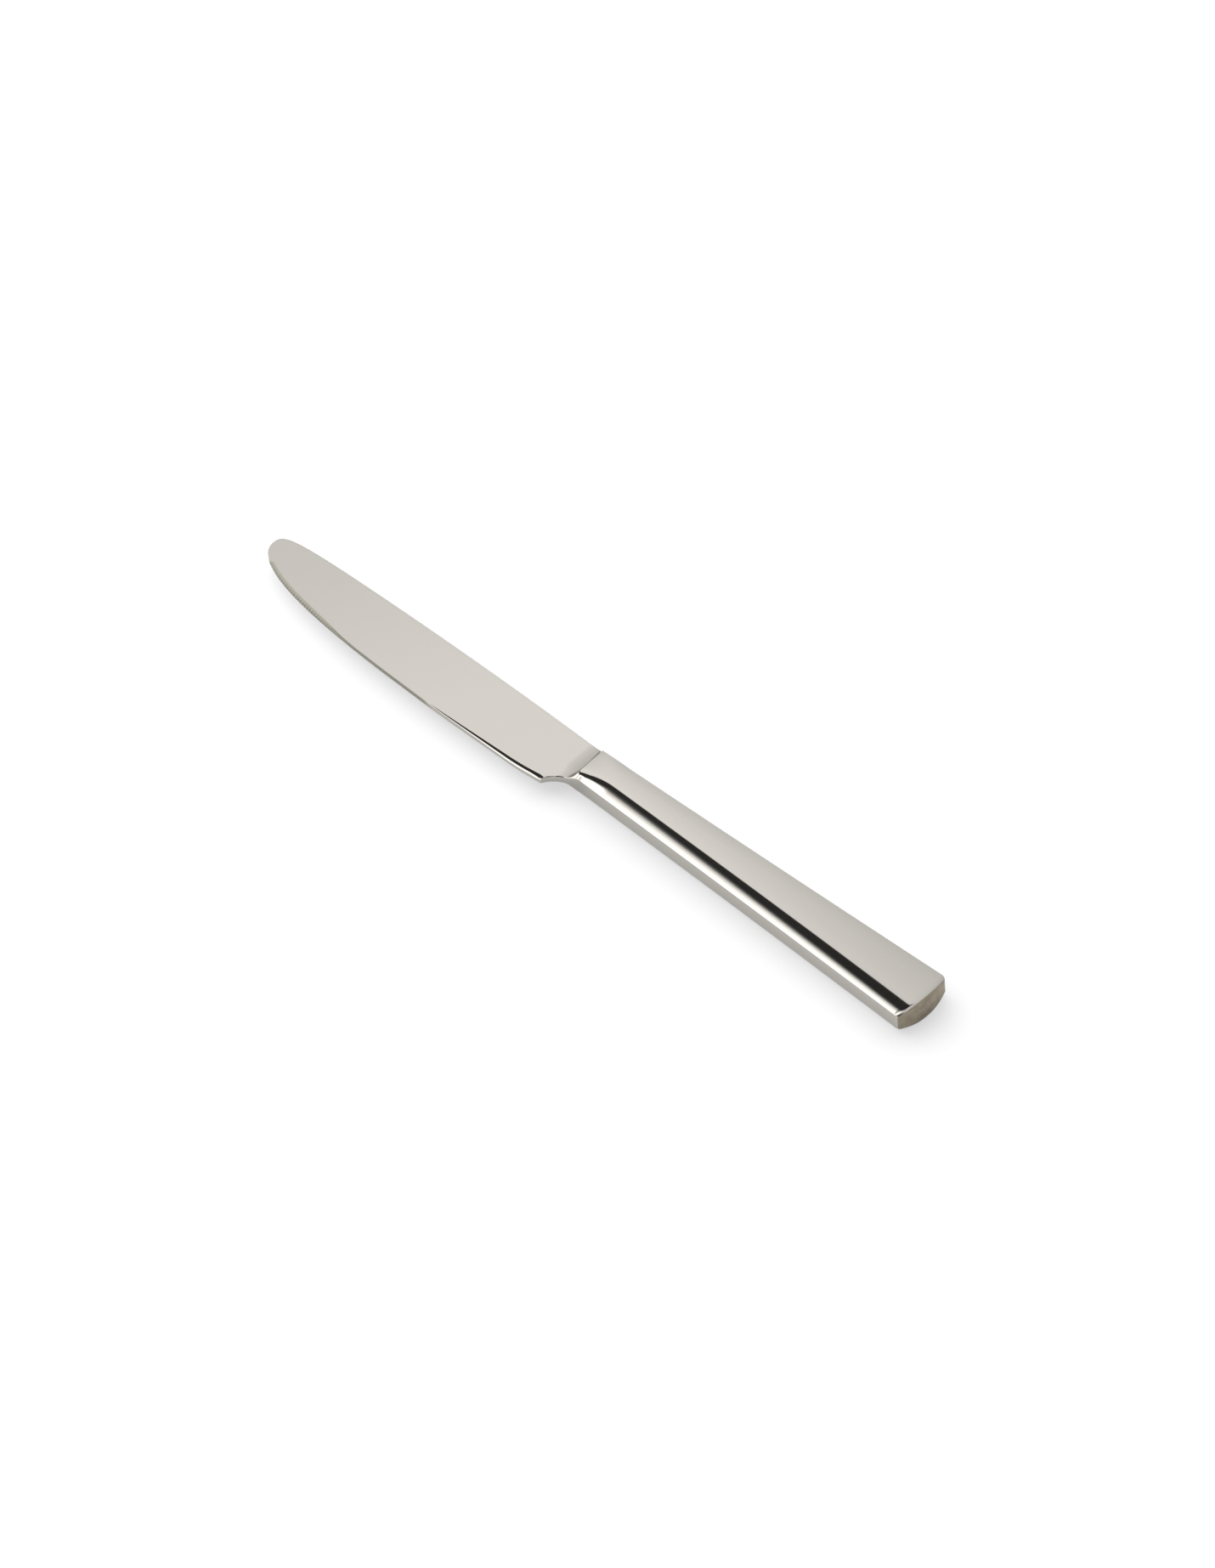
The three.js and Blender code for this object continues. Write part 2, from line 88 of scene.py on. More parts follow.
# Sizes of the bolster, cove and shoulder in millimetres, as the solids have them
BOLSTER_LENGTH = 12.0
BOLSTER_FALL = 0.3
BOLSTER_CROWN = 0.7
BOLSTER_FAR_CROWN = 1.0
RIBBON_WIDTH = 2.2
RIBBON_LEAD = 3.0
RIBBON_END = 1.0
COVE_LENGTH = 4.3
COVE_HEIGHT = 0.25
COVE_TAPER = 1.0
SHOULDER_BACK = 0.75
SHOULDER_SWEEP = 0.88
SHOULDER_STEEP = 6.0
SHOULDER_FILLET = 1.25
FILLET_GROWTH = 0.9

# The ribbon's facet: bowed, and so a little steeper at its foot than the flat facet of the solids
RIBBON_SLOPE = 0.8
RIBBON_EASE = 0.35
RIBBON_BOW = 0.3
RIBBON_CLIMB = 3.0

# Sizes of the border, bevel and teeth in millimetres, and the straight share of the border's slope, as the
# solids have them
CHOIL_BORDER = 0.3
CHOIL_DROP = 0.12
BORDER_WIDTH = 1.45
BORDER_LEAST = 0.06
BORDER_DROP = 0.4
BORDER_END = 50.0
BORDER_STRAIGHT = 0.65
SERRATION_START = 50.0
TOOTH_PITCH = 1.04
TOOTH_DEPTH = 0.24
BEVEL_WIDTH = 1.1
BEVEL_ROOT = 0.2
BEVEL_END = 3.6
BEVEL_FADE = 2.6
BURR_WIDTH = 0.25

# Sizes of the tang in millimetres, as the solids have them, and the notches' share of its length
TANG_LENGTH = 54.0
TANG_ROOT_WIDTH = 7.4
TANG_END_WIDTH = 4.6
TANG_THICKNESS = 2.4
TANG_NOTCH_RADIUS = 0.8
TANG_NOTCH_PLACE = 0.75

# Stretches over which a form comes, goes or changes, in millimetres in front of the shoulder
CROWN_FLATTENS = (-BOLSTER_LENGTH, -1.0)
FACET_COMES = (-9.0, -1.0)
FACET_EASES = (0.4, 1.2)
FACET_STEEPENS = (2.6, 4.0)
SHOULDER_SHARPENS = (-1.4, -0.2)
ROUNDS_CHANGE = (-4.0, 4.0)
BORDER_COMES = (1.8, 3.4)
BORDER_WIDENS = (2.5, 6.5)
BORDER_TURNS = (3.5, 5.5)
BORDER_DROPS = (0.6, 9.0)
GRIND_COMES = (SERRATION_START - 8.0, SERRATION_START + 8.0)
TEETH_COME = (SERRATION_START - 6.0, SERRATION_START + 6.0)
BEVEL_WIDENS = (74.0, 92.0)
STRIP_NARROWS = (0.0, 4.0)

# Stretch across the shoulder where its edge side starts, in millimetres from the knife's middle line
EDGE_SIDE = (2.0, 6.0)

# Small rounds that polishing leaves on the edges, in millimetres
HANDLE_ROUND = 0.22
SPINE_ROUND = 0.3
HEEL_ROUND = 0.12
SHOULDER_ROUND = 0.2
SHOULDER_ROUND_LOSS = 0.8
RIBBON_ROUND = 0.1
BUTT_ROUND = 0.05
BUTT_ROLL = 0.8
BUTT_ROLL_DROP = 0.12
BUTT_NEAR_CORNER = 0.3
BUTT_FAR_CORNER = 0.7
BUTT_CORNER_FADE = 0.64

# Teeth: their share of depth where they start, how far a flute sinks into the bevel as a share of its depth,
# how soon it does so, and the height of the cutting edge as a share of the flat's
TOOTH_START_SHARE = 0.5
FLUTE_SINK = 0.55
FLUTE_SPREAD = 0.75
CUTTING_HEIGHT = -0.3

# Most that a form takes of the blade's width, where that gets narrow at the tip
EDGE_ROUND_MOST = 0.05
SPINE_ROUND_MOST = 0.06
BEVEL_MOST = 0.3
BURR_MOST = 0.1
STRIP_MOST = 0.3

# The strip of close points at the edge: its least width, and its margin past the ribbon, in millimetres
STRIP_LEAST = 0.6
STRIP_MARGIN = 0.3

# The ground finish is full from this share of the bevel on
GROUND_FULL = 0.25

# Keeps a quarter circle just short of upright at its end
QUARTER_SHARE = 0.98

# The distances from an edge between which a face's slope is measured, in millimetres
PROBE_NEAR = 0.05
PROBE_FAR = 0.15

# Points in a handle section: up a wall, round an edge and over the crown, where they crowd towards the sides
WALL_POINTS = 6
ROUND_POINTS = 8
CROWN_POINTS = 61
CROWN_CROWDING = 0.6
HANDLE_STATIONS = 140

# Rings on the butt cap: over its end face, round its rim and over the roll of its sides
END_FACE_RINGS = 25
RIM_RINGS = 5
ROLL_RINGS = 12

# Share of its size at which the end face starts, and to which the spigot's end closes
MIDDLE_SHARE = 0.02

# Points in a forging section
EDGE_ROUND_POINTS = 9
SPINE_ROUND_POINTS = 7
BURR_POINTS = 5
BEVEL_POINTS = 2 * EDGE_ROUND_POINTS - BURR_POINTS
STRIP_POINTS = 24
FLAT_POINTS = 24

# Stations along the forging: the cove's stretch in front of the shoulder, the counts, and the last places at
# the tip as shares of the way that is left
COVE_STRETCH = (-2.6, 2.0)
BOLSTER_STATIONS = 40
COVE_STATIONS = 100
CHOIL_STATIONS = 40
PLAIN_STATIONS = 60
TOOTH_STATIONS = 6
TIP_SHARES = (0.6, 0.3, 0.1, 0.01)

# Stations along the tang, with the way that is left clear on each side of the notches, in millimetres
TANG_REAR_STATIONS = 8
TANG_NOTCH_STATIONS = 15
TANG_FRONT_STATIONS = 10
TANG_NOTCH_CLEAR = 1.0

# How hard the forging's ring is pressed onto the tang's sides and faces
TANG_SIDE_PRESS = 1.15
TANG_FACE_PRESS = 3.0

# Places that follow from the sizes
SHOULDER_X = HANDLE_LENGTH - OVERALL_LENGTH / 2
BUTT_X = -OVERALL_LENGTH / 2
TIP_X = OVERALL_LENGTH / 2
CAP_X = BUTT_X + BUTT_BOW + CAP_EDGE
SHELL_BACK_X = CAP_X + BRAZE_THICKNESS
JOINT_X = SHOULDER_X - BOLSTER_LENGTH
SHELL_FRONT_X = JOINT_X - BRAZE_THICKNESS
HEEL_X = SHOULDER_X + HEEL_DISTANCE
CREST_X = SHOULDER_X + BELLY_CREST
CHOIL_START_X = HEEL_X - CHOIL_RUN
MID_Z = HANDLE_THICKNESS / 2
WALL_HALF = SIDE_WALL / 2
CROWN = MID_Z - WALL_HALF
NECK_HALF = NECK_WIDTH / 2
BUTT_HALF = BUTT_WIDTH / 2
CENTRE_Y = (BELLY_REACH - BUTT_HALF) / 2


def smoothstep(low, high, value):
    """Rises from 0 at low to 1 at high along 3t squared minus 2t cubed."""
    t = np.clip((value - low) / (high - low), 0.0, 1.0)
    return t * t * (3.0 - 2.0 * t)


def quarter_circle(share):
    """Height of a quarter circle of radius 1 over the share of the way to its upright end."""
    return 1.0 - np.sqrt(1.0 - QUARTER_SHARE * share**2)


def handle_half(x):
    """Half width of the handle: a straight taper from neck to butt, less a parabola that hollows the side."""
    back = np.clip((SHOULDER_X - x) / (HANDLE_LENGTH - BUTT_BOW), 0.0, 1.0 + TAPER_OVERRUN)
    return NECK_HALF + (BUTT_HALF - NECK_HALF) * back - 4.0 * SIDE_HOLLOW * back * (1.0 - back)


def choil_rise(x):
    """How far the edge side stands beyond the handle.

    It grows with the square of the way to the heel, hooked at the end by a ninth power.
    """
    climb = np.clip((x - CHOIL_START_X) / CHOIL_RUN, 0.0, 1.0)
    return (HEEL_REACH - NECK_HALF) * ((1.0 - CHOIL_HOOK) * climb**2 + CHOIL_HOOK * climb**9)


def bezier(corners, count):
    """Cubic Bezier curve: the four corners weighted by the Bernstein polynomials, at even parameters."""
    t = np.linspace(0.0, 1.0, count)[:, None]
    a, b, c, d = np.asarray(corners, float)
    return (1 - t) ** 3 * a + 3 * t * (1 - t) ** 2 * b + 3 * t**2 * (1 - t) * c + t**3 * d


SPINE_FRONT_X = TIP_X - TIP_ROUND
SPINE_SLOPE = (NECK_HALF - SPINE_FRONT + 4.0 * SPINE_BOW) / (SPINE_FRONT_X - SHOULDER_X)
SPINE_ARM = TIP_SPINE_ARM * TIP_ROUND
TIP_CURVE = bezier(
    [
        (SPINE_FRONT_X, -SPINE_FRONT),
        (SPINE_FRONT_X + SPINE_ARM, -SPINE_FRONT + SPINE_ARM * SPINE_SLOPE),
        (TIP_X, TIP_OFFSET - TIP_FRONT_ARM * SPINE_FRONT),
        (TIP_X, TIP_OFFSET),
    ],
    TIP_CURVE_POINTS,
)
BELLY_CURVE = bezier(
    [
        (CREST_X, BELLY_REACH),
        (CREST_X + BELLY_ARM * (TIP_X - CREST_X), BELLY_REACH),
        (TIP_X, BELLY_FRONT),
        (TIP_X, TIP_OFFSET),
    ],
    BELLY_CURVE_POINTS,
)


def spine_y(x):
    """The spine: the handle's side, a straight line with a parabola's bow, then the tip's Bezier curve."""
    along = (x - SHOULDER_X) / (SPINE_FRONT_X - SHOULDER_X)
    bowed = -NECK_HALF - (SPINE_FRONT - NECK_HALF) * along - 4.0 * SPINE_BOW * along * (1.0 - along)
    plain = np.where(x < SHOULDER_X, -handle_half(x), bowed)
    return np.where(x > SPINE_FRONT_X, np.interp(x, TIP_CURVE[:, 0], TIP_CURVE[:, 1]), plain)


def edge_y(x):
    """The edge side: the choil up to the heel, a parabola up to the crest, then the belly's Bezier curve."""
    back = (CREST_X - x) / (CREST_X - HEEL_X)
    rear = BELLY_REACH - (BELLY_REACH - HEEL_REACH) * back * back
    plain = np.where(x < HEEL_X, handle_half(x) + choil_rise(x), rear)
    return np.where(x > CREST_X, np.interp(x, BELLY_CURVE[:, 0], BELLY_CURVE[:, 1]), plain)


def edge_normal(x):
    """Outward direction of the belly in plan.

    It is the curve's tangent turned a quarter turn, and +Y behind the crest.
    """
    tangent = np.gradient(BELLY_CURVE, axis=0)
    tangent /= np.linalg.norm(tangent, axis=1)[:, None]
    normal_x = np.interp(x, BELLY_CURVE[:, 0], -tangent[:, 1])
    normal_y = np.interp(x, BELLY_CURVE[:, 0], tangent[:, 0])
    return np.where(x > CREST_X, normal_x, 0.0), np.where(x > CREST_X, normal_y, 1.0)


def grid_mesh(name, rings, first=None, last=None):
    """A closed mesh through rings of points, with quads between neighbours and a cover at each end.

    The rings array is stations by ring points by 3, in millimetres, each ring anticlockwise when seen
    from +X. An end is "fill" for one polygon, "strip" for quads that join the two halves of the ring, or
    None where the rings close by themselves.
    """
    stations, count, _ = rings.shape
    index = np.arange(stations * count).reshape(stations, count)
    along = np.roll(index, -1, axis=1)
    quads = np.stack([index[:-1], along[:-1], along[1:], index[1:]], axis=-1).reshape(-1, 4)
    faces = quads.tolist()
    for end, ring, turn in ((first, index[0], -1), (last, index[-1], 1)):
        if end == "fill":
            faces.append(ring[::turn].tolist())
        if end == "strip":
            half = count // 2
            outer = ring[:half]
            inner = ring[half:][::-1]
            strip = np.stack([outer[:-1], outer[1:], inner[1:], inner[:-1]], axis=-1)
            faces.extend(strip[:, ::turn].tolist())
    points = rings.reshape(-1, 3) - np.array([0.0, CENTRE_Y, -MID_Z])
    mesh = bpy.data.meshes.new(name)
    mesh.from_pydata((points * MM).tolist(), [], faces)
    return mesh


def finish_piece(mesh, body, material, *nodes, slot, sharp=28.0):
    """Puts a mesh into the scene as a piece of the knife.

    Its faces are smooth, its edges above an angle are sharp, and it rides on its body.
    """
    mesh.validate()
    mesh.polygons.foreach_set("use_smooth", np.ones(len(mesh.polygons), bool))
    mesh.set_sharp_from_angle(angle=math.radians(sharp))
    mesh.materials.append(material)
    piece = bpy.data.objects.new(mesh.name, mesh)
    bpy.context.scene.collection.objects.link(piece)
    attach(piece, body)
    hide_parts(*nodes)
    return piece


def crown_profile(spine, edge, wall, crown, fillet, low):
    """Upper outline of a handle section from the edge side over the crown to the spine side.

    Each side climbs the straight wall from low, and turns through a round of the fillet radius until it has
    the slope of the crown. The crown is a parabola across the width: wall plus crown times one minus the
    share squared. All sizes are columns, one row a station; the result is y and z, stations by points.
    """
    half = (edge - spine) / 2.0
    middle = (edge + spine) / 2.0
    slope = np.arctan(2.0 * crown / half)
    reach = half - fillet * (1.0 - np.sin(slope))
    slope = np.arctan(2.0 * crown * reach / half**2)
    reach = half - fillet * (1.0 - np.sin(slope))
    top = wall + crown * (1.0 - (reach / half) ** 2)
    hub = top - fillet * np.cos(slope)
    turn = np.linspace(0.0, 1.0, ROUND_POINTS + 1)[None, :-1] * (np.pi / 2.0 - slope)
    round_y = half - fillet + fillet * np.cos(turn)
    round_z = hub + fillet * np.sin(turn)
    climb = np.linspace(0.0, 1.0, WALL_POINTS + 1)[None, :-1]
    wall_z = low + (hub - low) * climb
    wall_y = half + 0.0 * wall_z
    crowded = np.sin(np.linspace(np.pi / 2.0, -np.pi / 2.0, CROWN_POINTS))[None, :]
    spread = np.linspace(1.0, -1.0, CROWN_POINTS)[None, :]
    share = CROWN_CROWDING * crowded + (1.0 - CROWN_CROWDING) * spread
    crown_y = reach * share
    crown_z = wall + crown * (1.0 - (crown_y / half) ** 2)
    y = np.concatenate([wall_y, round_y, crown_y, -round_y[:, ::-1], -wall_y[:, ::-1]], axis=1)
    z = np.concatenate([wall_z, round_z, crown_z, round_z[:, ::-1], wall_z[:, ::-1]], axis=1)
    return middle + y, z


def stack(x, y, z):
    """Joins x, y and z arrays of one shape into points."""
    return np.stack([x + 0.0 * y, y, z], axis=-1)


def handle_stations():
    """Even places along the shells."""
    return np.linspace(SHELL_BACK_X, SHELL_FRONT_X, HANDLE_STATIONS)[:, None]


def shell_rings(sign):
    """Rings of a half shell: the outer outline, then the inner one set in by the wall, drawn back again.

    The lower half is the upper one turned over, with its crown cut flat at the narrow land that it rests on.
    """
    x = handle_stations()
    spine = -handle_half(x)
    edge = handle_half(x)
    deep = CROWN + (REST_LAND_DEPTH if sign < 0 else 0.0)
    rim = SEAM_THICKNESS / 2.0
    outer_y, outer_z = crown_profile(spine, edge, WALL_HALF, deep, HANDLE_ROUND, rim)
    inner_y, inner_z = crown_profile(
        spine + SHELL_WALL, edge - SHELL_WALL, WALL_HALF - SHELL_WALL, deep, HANDLE_ROUND, rim
    )
    outer_z = np.minimum(outer_z, MID_Z)
    y = np.concatenate([outer_y, inner_y[:, ::-1]], axis=1)
    z = np.concatenate([outer_z, inner_z[:, ::-1]], axis=1)
    rings = stack(x, y, sign * z)
    return rings if sign > 0 else rings[:, ::-1]


def seam_rings(side):
    """Rings of the braze in a long seam: a flat rectangle as wide as the shell wall, along one side."""
    x = handle_stations()
    outer = side * handle_half(x)
    inner = outer - side * SHELL_WALL
    high = np.full_like(x, SEAM_THICKNESS / 2.0)
    y = np.concatenate([outer, outer, inner, inner], axis=1)
    z = np.concatenate([-high, high, high, -high], axis=1)
    rings = stack(x, y, z)
    return rings if side > 0 else rings[:, ::-1]


def section_ring(x, inset):
    """A whole handle section as one ring: the upper outline, then the lower one drawn back again."""
    x = np.asarray(x, float).reshape(-1, 1)
    inset = np.asarray(inset, float).reshape(-1, 1)
    spine = -handle_half(x) + inset
    edge = handle_half(x) - inset
    wall = WALL_HALF - inset
    upper_y, upper_z = crown_profile(spine, edge, wall, CROWN, HANDLE_ROUND, 0.0)
    lower_y, lower_z = crown_profile(spine, edge, wall, CROWN + REST_LAND_DEPTH, HANDLE_ROUND, 0.0)
    lower_z = np.minimum(lower_z, MID_Z - inset)
    y = np.concatenate([upper_y, lower_y[:, -2:0:-1]], axis=1)
    z = np.concatenate([upper_z, -lower_z[:, -2:0:-1]], axis=1)
    return stack(x, y, z)


def cap_rings():
    """Rings of the butt cap, from the middle of its end face out, round its rim, and in over its spigot.

    The end face is bowed in plan and leans back upwards: x grows with the square of y and with z. In plan
    its two corners are quarter circles. Its rim is a quarter circle of the butt round, and the sides roll in
    towards it with the square of the way over the last stretch, where the corners fade.
    """
    shrink = np.linspace(MIDDLE_SHARE, 1.0, END_FACE_RINGS + 1)[:-1]
    turn = np.linspace(0.0, np.pi / 2.0, RIM_RINGS)
    along = np.linspace(0.0, 1.0, ROLL_RINGS + 1)[1:]
    roll = BUTT_ROLL_DROP * (1.0 - along) ** 2
    rim = BUTT_ROLL_DROP + BUTT_ROUND * (1.0 - np.sin(turn))
    inset = np.concatenate([np.full_like(shrink, rim[0]), rim, roll])
    scale = np.concatenate([shrink, np.ones_like(rim), np.ones_like(roll)])
    round_back = BUTT_ROUND * (1.0 - np.cos(turn))
    roll_back = BUTT_ROUND + (BUTT_ROLL - BUTT_ROUND) * along
    setback = np.concatenate([np.zeros_like(shrink), round_back, roll_back])
    face = section_ring(np.full_like(inset, BUTT_X + BUTT_BOW), inset)
    face[..., 1:] *= scale[:, None, None]
    y = face[..., 1]
    corner_round = np.where(y > 0.0, BUTT_NEAR_CORNER, BUTT_FAR_CORNER)
    into = np.clip(1.0 - (BUTT_HALF - rim[0] - np.abs(y)) / corner_round, 0.0, 1.0)
    fade = np.concatenate([np.ones_like(shrink), np.ones_like(rim), 1.0 - BUTT_CORNER_FADE * along])
    cornered = corner_round * (1.0 - np.sqrt(1.0 - into**2)) * fade[:, None]
    bowed = BUTT_BOW * (y / BUTT_HALF) ** 2 + cornered
    face[..., 0] = BUTT_X + bowed + BUTT_LEAN * (1.0 + face[..., 2] / MID_Z) + setback[:, None]
    bore = SHELL_WALL + CLEARANCE
    back_x = np.array([CAP_X, CAP_X, CAP_X + SPIGOT_LENGTH, CAP_X + SPIGOT_LENGTH])
    back = section_ring(back_x, np.array([0.0, bore, bore, bore]))
    back[-1, :, 1:] *= MIDDLE_SHARE
    return np.concatenate([face, back])


def braze_rings(back, front):
    """Rings of a flat braze ring: the outer outline, back to front, then the inner one, front to back."""
    x = np.array([back, front, front, back, back])
    inset = np.array([0.0, 0.0, SHELL_WALL, SHELL_WALL, 0.0])
    return section_ring(x, inset)


def belly_stations():
    """Places along the serrated edge, even along the curve of the belly, with the phase of the teeth."""
    steps = np.linalg.norm(np.diff(BELLY_CURVE, axis=0), axis=1)
    length = np.concatenate([[0.0], np.cumsum(steps)])
    start = np.interp(SHOULDER_X + GRIND_COMES[0], BELLY_CURVE[:, 0], length)
    teeth = int((length[-1] - start) / TOOTH_PITCH)
    phase = np.arange(TOOTH_STATIONS * teeth + 1) / TOOTH_STATIONS
    return np.interp(start + phase * TOOTH_PITCH, length, BELLY_CURVE[:, 0]), phase


def face_height(x, y):
    """Height of the blade's flat.

    It is half the spine's thickness, which thins evenly to the tip, less a lean towards the edge.
    """
    along = np.clip((x - SHOULDER_X) / (OVERALL_LENGTH - HANDLE_LENGTH), 0.0, 1.0)
    spine_half = (SPINE_THICKNESS + (TIP_THICKNESS - SPINE_THICKNESS) * along) / 2.0
    lean = (SPINE_THICKNESS - HEEL_THICKNESS) / 2.0 / (HEEL_REACH + NECK_HALF) * (1.0 - along)
    return spine_half - lean * (y - spine_y(x))


def border_fade(x):
    """Share of the border that is left: 1 up to the heel, then falling evenly to 0 at the border's end."""
    away = x - SHOULDER_X
    return np.clip((BORDER_END - away) / (BORDER_END - HEEL_DISTANCE), 0.0, 1.0)


def border_height(x):
    """Height of the upright wall's top: the handle's wall, easing to just under the flat at the choil.

    Past the heel it lies furthest under the flat, and comes up to it evenly at the border's end.
    """
    away = x - SHOULDER_X
    plain = BORDER_DROP * border_fade(x)
    drop = CHOIL_DROP + (plain - CHOIL_DROP) * smoothstep(*BORDER_DROPS, away)
    ease = smoothstep(-RIBBON_LEAD, RIBBON_END, away)
    return WALL_HALF + (face_height(x, edge_y(x)) - drop - WALL_HALF) * ease


def border_width(x):
    """Width of the blade's border: narrow at the choil, widest past the heel, narrowing evenly to its end."""
    away = x - SHOULDER_X
    plain = BORDER_LEAST + BORDER_WIDTH * border_fade(x)
    return CHOIL_BORDER + (plain - CHOIL_BORDER) * smoothstep(*BORDER_WIDENS, away)


def lower_of(first, second, width):
    """The lower of two heights, with a parabola of the given width where they meet."""
    mix = np.clip(0.5 + 0.5 * (second - first) / width, 0.0, 1.0)
    return second + (first - second) * mix - width * mix * (1.0 - mix)


def bolster_height(x, y):
    """Height of the bolster: the handle's crown, a parabola across, which flattens along the bolster.

    On the edge side a ribbon falls away from it: with the square of the way across at first, then more and
    more as a facet, slightly bowed by a parabola, that runs on past the shoulder.
    """
    away = x - SHOULDER_X
    edge = edge_y(x)
    inset = edge - y
    ease = smoothstep(*CROWN_FLATTENS, away)
    apex = MID_Z - BOLSTER_FALL * np.clip(1.0 + away / BOLSTER_LENGTH, 0.0, 1.0) ** 2
    bow = CROWN + (BOLSTER_CROWN - CROWN) * ease
    far_bow = CROWN + (BOLSTER_FAR_CROWN - CROWN) * ease
    crown = apex - np.where(y > 0.0, bow * (y / edge) ** 2, far_bow * (y / handle_half(x)) ** 2)
    across = np.clip(1.0 - inset / RIBBON_WIDTH, 0.0, 1.0)
    curved = crown - (apex - bow - WALL_HALF) * across**2
    eased = RIBBON_SLOPE - RIBBON_EASE * smoothstep(*FACET_EASES, away)
    steep = eased + RIBBON_CLIMB * smoothstep(*FACET_STEEPENS, away)
    climbed = inset - RIBBON_BOW * np.clip(inset, 0.0, RIBBON_WIDTH) ** 2 / RIBBON_WIDTH
    faceted = lower_of(crown, border_height(x) + steep * climbed, RIBBON_ROUND)
    return curved + (faceted - curved) * smoothstep(*FACET_COMES, away)


def flat_height(x, y, ground):
    """Height of the blade's upper face: the flat, and its border.

    The border turns down as a round at the choil, and along the plain edge as a slope that ends in a fifth
    power. The ground bevel has no border.
    """
    away = x - SHOULDER_X
    edge = edge_y(x)
    share = np.clip(1.0 - (edge - y) / border_width(x), 0.0, 1.0)
    rounded = quarter_circle(share)
    turned = BORDER_STRAIGHT * share + (1.0 - BORDER_STRAIGHT) * share**5
    border = rounded + (turned - rounded) * smoothstep(*BORDER_TURNS, away)
    border = border * smoothstep(*BORDER_COMES, away) * (1.0 - ground)
    return face_height(x, y) - (face_height(x, edge) - border_height(x)) * border


def forged_height(x, y, ground):
    """Height of the forging's faces above the middle plane: the lower of the bolster and the cove.

    The cove rises from the blade's flat with the square of the way, then turns up in a quarter circle to the
    steep shoulder that cuts the crown off.
    """
    away = x - SHOULDER_X
    reach = np.clip((y + NECK_HALF) / NECK_WIDTH, 0.0, 1.0)
    foot = -SHOULDER_BACK - SHOULDER_SWEEP * (1.0 - (1.0 - reach) ** 2)
    near = smoothstep(*EDGE_SIDE, y)
    climb = np.clip(1.0 - (COVE_TAPER * near + away) / COVE_LENGTH, 0.0, None)
    radius = SHOULDER_FILLET + FILLET_GROWTH * near
    curl = np.clip(1.0 + (foot - away) / radius, 0.0, 1.0)
    fillet = radius * quarter_circle(curl)
    step = SHOULDER_STEEP * np.clip(foot - away, 0.0, None)
    cove = flat_height(x, y, ground) + COVE_HEIGHT * climb**2 + fillet + step
    sharpened = SHOULDER_ROUND_LOSS * near * smoothstep(*SHOULDER_SHARPENS, away)
    return lower_of(bolster_height(x, y), cove, SHOULDER_ROUND * (1.0 - sharpened))


def corner(top, slope, radius, count):
    """A round between a face that falls away at a slope and an upright wall: inset from the wall, and height.

    Top is the face's height where the round starts, at the radius times one minus the sine of the slope.
    """
    turn = np.linspace(1.0, 0.0, count)[None, :] * (np.pi / 2.0 - slope)
    return radius - radius * np.cos(turn), top - radius * np.cos(slope) + radius * np.sin(turn)


def blade_stations():
    """Places along the forging from the joint to the tip, with the phase of the teeth at each.

    They lie closest at the cove and the choil, and along the teeth.
    """
    cove_back = SHOULDER_X + COVE_STRETCH[0]
    cove_front = SHOULDER_X + COVE_STRETCH[1]
    bolster = np.linspace(JOINT_X, cove_back, BOLSTER_STATIONS)
    cove = np.linspace(cove_back, cove_front, COVE_STATIONS)[1:]
    choil = np.linspace(cove_front, HEEL_X, CHOIL_STATIONS)[1:]
    cut, phase = belly_stations()
    plain = np.linspace(HEEL_X, cut[0], PLAIN_STATIONS)[1:-1]
    ends = TIP_X - (TIP_X - cut[-1]) * np.array(TIP_SHARES)
    before = len(bolster) + len(cove) + len(choil) + len(plain)
    x = np.concatenate([bolster, cove, choil, plain, cut, ends])
    tooth = np.concatenate([np.zeros(before), phase, np.zeros(len(ends))])
    return x[:, None], tooth[:, None]


